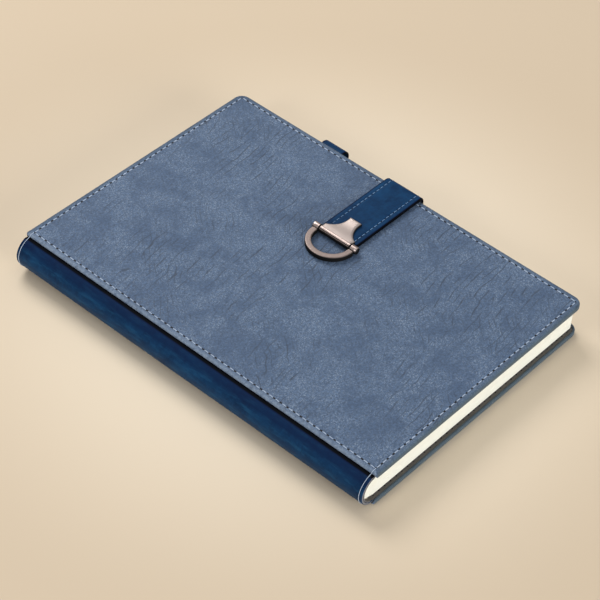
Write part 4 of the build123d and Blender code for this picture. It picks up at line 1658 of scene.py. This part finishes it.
def make_stage():
    scene = bpy.context.scene
    make_floor()
    for lamp in LAMPS:
        make_lamp(*lamp)
    world = bpy.data.worlds.new("studio")
    world.use_nodes = True
    nodes = Nodes(world.node_tree)
    height = nodes.split(nodes.add("ShaderNodeTexCoord").outputs["Generated"])["Z"]
    sky = nodes.mix(nodes.ramp(height, *SKY_RISE), SKY_LOW, SKY_HIGH)
    nodes.feed(world.node_tree.nodes["Background"].inputs["Color"], sky)
    scene.world = world
    scene.view_settings.view_transform = "Standard"
    camera = bpy.data.cameras.new("camera")
    camera.lens = CAMERA_LENS
    scene.camera = put("camera", camera, facing(CAMERA_PLACE, CAMERA_AIM, CAMERA_ROLL))


# Operators

class DIARY_OT_covers(bpy.types.Operator):
    """Add the sewn coverings of the front and back cover"""

    bl_idname = "diary.covers"
    bl_label = "Covers"

    def execute(self, context):
        make_covers()
        return {"FINISHED"}


class DIARY_OT_linings(bpy.types.Operator):
    """Add the cloth linings on the inner side of the covers"""

    bl_idname = "diary.linings"
    bl_label = "Linings"

    def execute(self, context):
        make_linings()
        return {"FINISHED"}


class DIARY_OT_leaves(bpy.types.Operator):
    """Add the folded sheets, the endpapers and the gauze over the folds"""

    bl_idname = "diary.leaves"
    bl_label = "Leaves"

    def execute(self, context):
        make_leaves()
        return {"FINISHED"}


class DIARY_OT_spine(bpy.types.Operator):
    """Add the spine's leather and lining, and the threads round its ends"""

    bl_idname = "diary.spine"
    bl_label = "Spine"

    def execute(self, context):
        make_spine()
        return {"FINISHED"}


class DIARY_OT_cover_stitches(bpy.types.Operator):
    """Add the rows of stitches on both covers"""

    bl_idname = "diary.cover_stitches"
    bl_label = "Cover stitches"

    def execute(self, context):
        make_cover_stitches()
        return {"FINISHED"}


class DIARY_OT_strap(bpy.types.Operator):
    """Add the two-layer strap and its stitches"""

    bl_idname = "diary.strap"
    bl_label = "Strap"

    def execute(self, context):
        make_strap()
        return {"FINISHED"}


class DIARY_OT_buckle(bpy.types.Operator):
    """Add the buckle's plate with its barrel, and the ring"""

    bl_idname = "diary.buckle"
    bl_label = "Buckle"

    def execute(self, context):
        make_plate()
        make_ring()
        return {"FINISHED"}


class DIARY_OT_pen_loop(bpy.types.Operator):
    """Add the leather loop for a pen"""

    bl_idname = "diary.pen_loop"
    bl_label = "Pen loop"

    def execute(self, context):
        make_pen_loop()
        return {"FINISHED"}


class DIARY_OT_inner_pieces(bpy.types.Operator):
    """Give the boards, magnets, rivets and pin their finishes"""

    bl_idname = "diary.inner_pieces"
    bl_label = "Inner pieces"

    def execute(self, context):
        finish_solids()
        return {"FINISHED"}


class DIARY_OT_stage(bpy.types.Operator):
    """Add the floor, the lamps and the camera"""

    bl_idname = "diary.stage"
    bl_label = "Stage"

    def execute(self, context):
        make_stage()
        return {"FINISHED"}


OPERATORS = (DIARY_OT_covers, DIARY_OT_linings, DIARY_OT_leaves, DIARY_OT_spine, DIARY_OT_cover_stitches,
             DIARY_OT_strap, DIARY_OT_buckle, DIARY_OT_pen_loop, DIARY_OT_inner_pieces, DIARY_OT_stage)


class DIARY_PT_sidebar(bpy.types.Panel):
    """Sizes, colours and pieces of the diary"""

    bl_label = "Diary"
    bl_idname = "DIARY_PT_sidebar"
    bl_space_type = "VIEW_3D"
    bl_region_type = "UI"
    bl_category = "Diary"

    def draw(self, context):
        for group in (context.scene.diary_sizes, context.scene.diary_colours):
            column = self.layout.column()
            for name in group.__annotations__:
                column.prop(group, name)
        column = self.layout.column(align=True)
        for operator in OPERATORS:
            column.operator(operator.bl_idname)


CLASSES = (DiarySizes, DiaryColours, *OPERATORS, DIARY_PT_sidebar)


def register():
    for each in CLASSES:
        bpy.utils.register_class(each)
    bpy.types.Scene.diary_sizes = PointerProperty(type=DiarySizes)
    bpy.types.Scene.diary_colours = PointerProperty(type=DiaryColours)


def unregister():
    del bpy.types.Scene.diary_colours
    del bpy.types.Scene.diary_sizes
    for each in reversed(CLASSES):
        bpy.utils.unregister_class(each)


def main():
    register()
    bpy.ops.diary.covers()
    bpy.ops.diary.linings()
    bpy.ops.diary.leaves()
    bpy.ops.diary.spine()
    bpy.ops.diary.cover_stitches()
    bpy.ops.diary.strap()
    bpy.ops.diary.buckle()
    bpy.ops.diary.pen_loop()
    bpy.ops.diary.inner_pieces()
    bpy.ops.diary.stage()


if __name__ == "__main__":
    main()
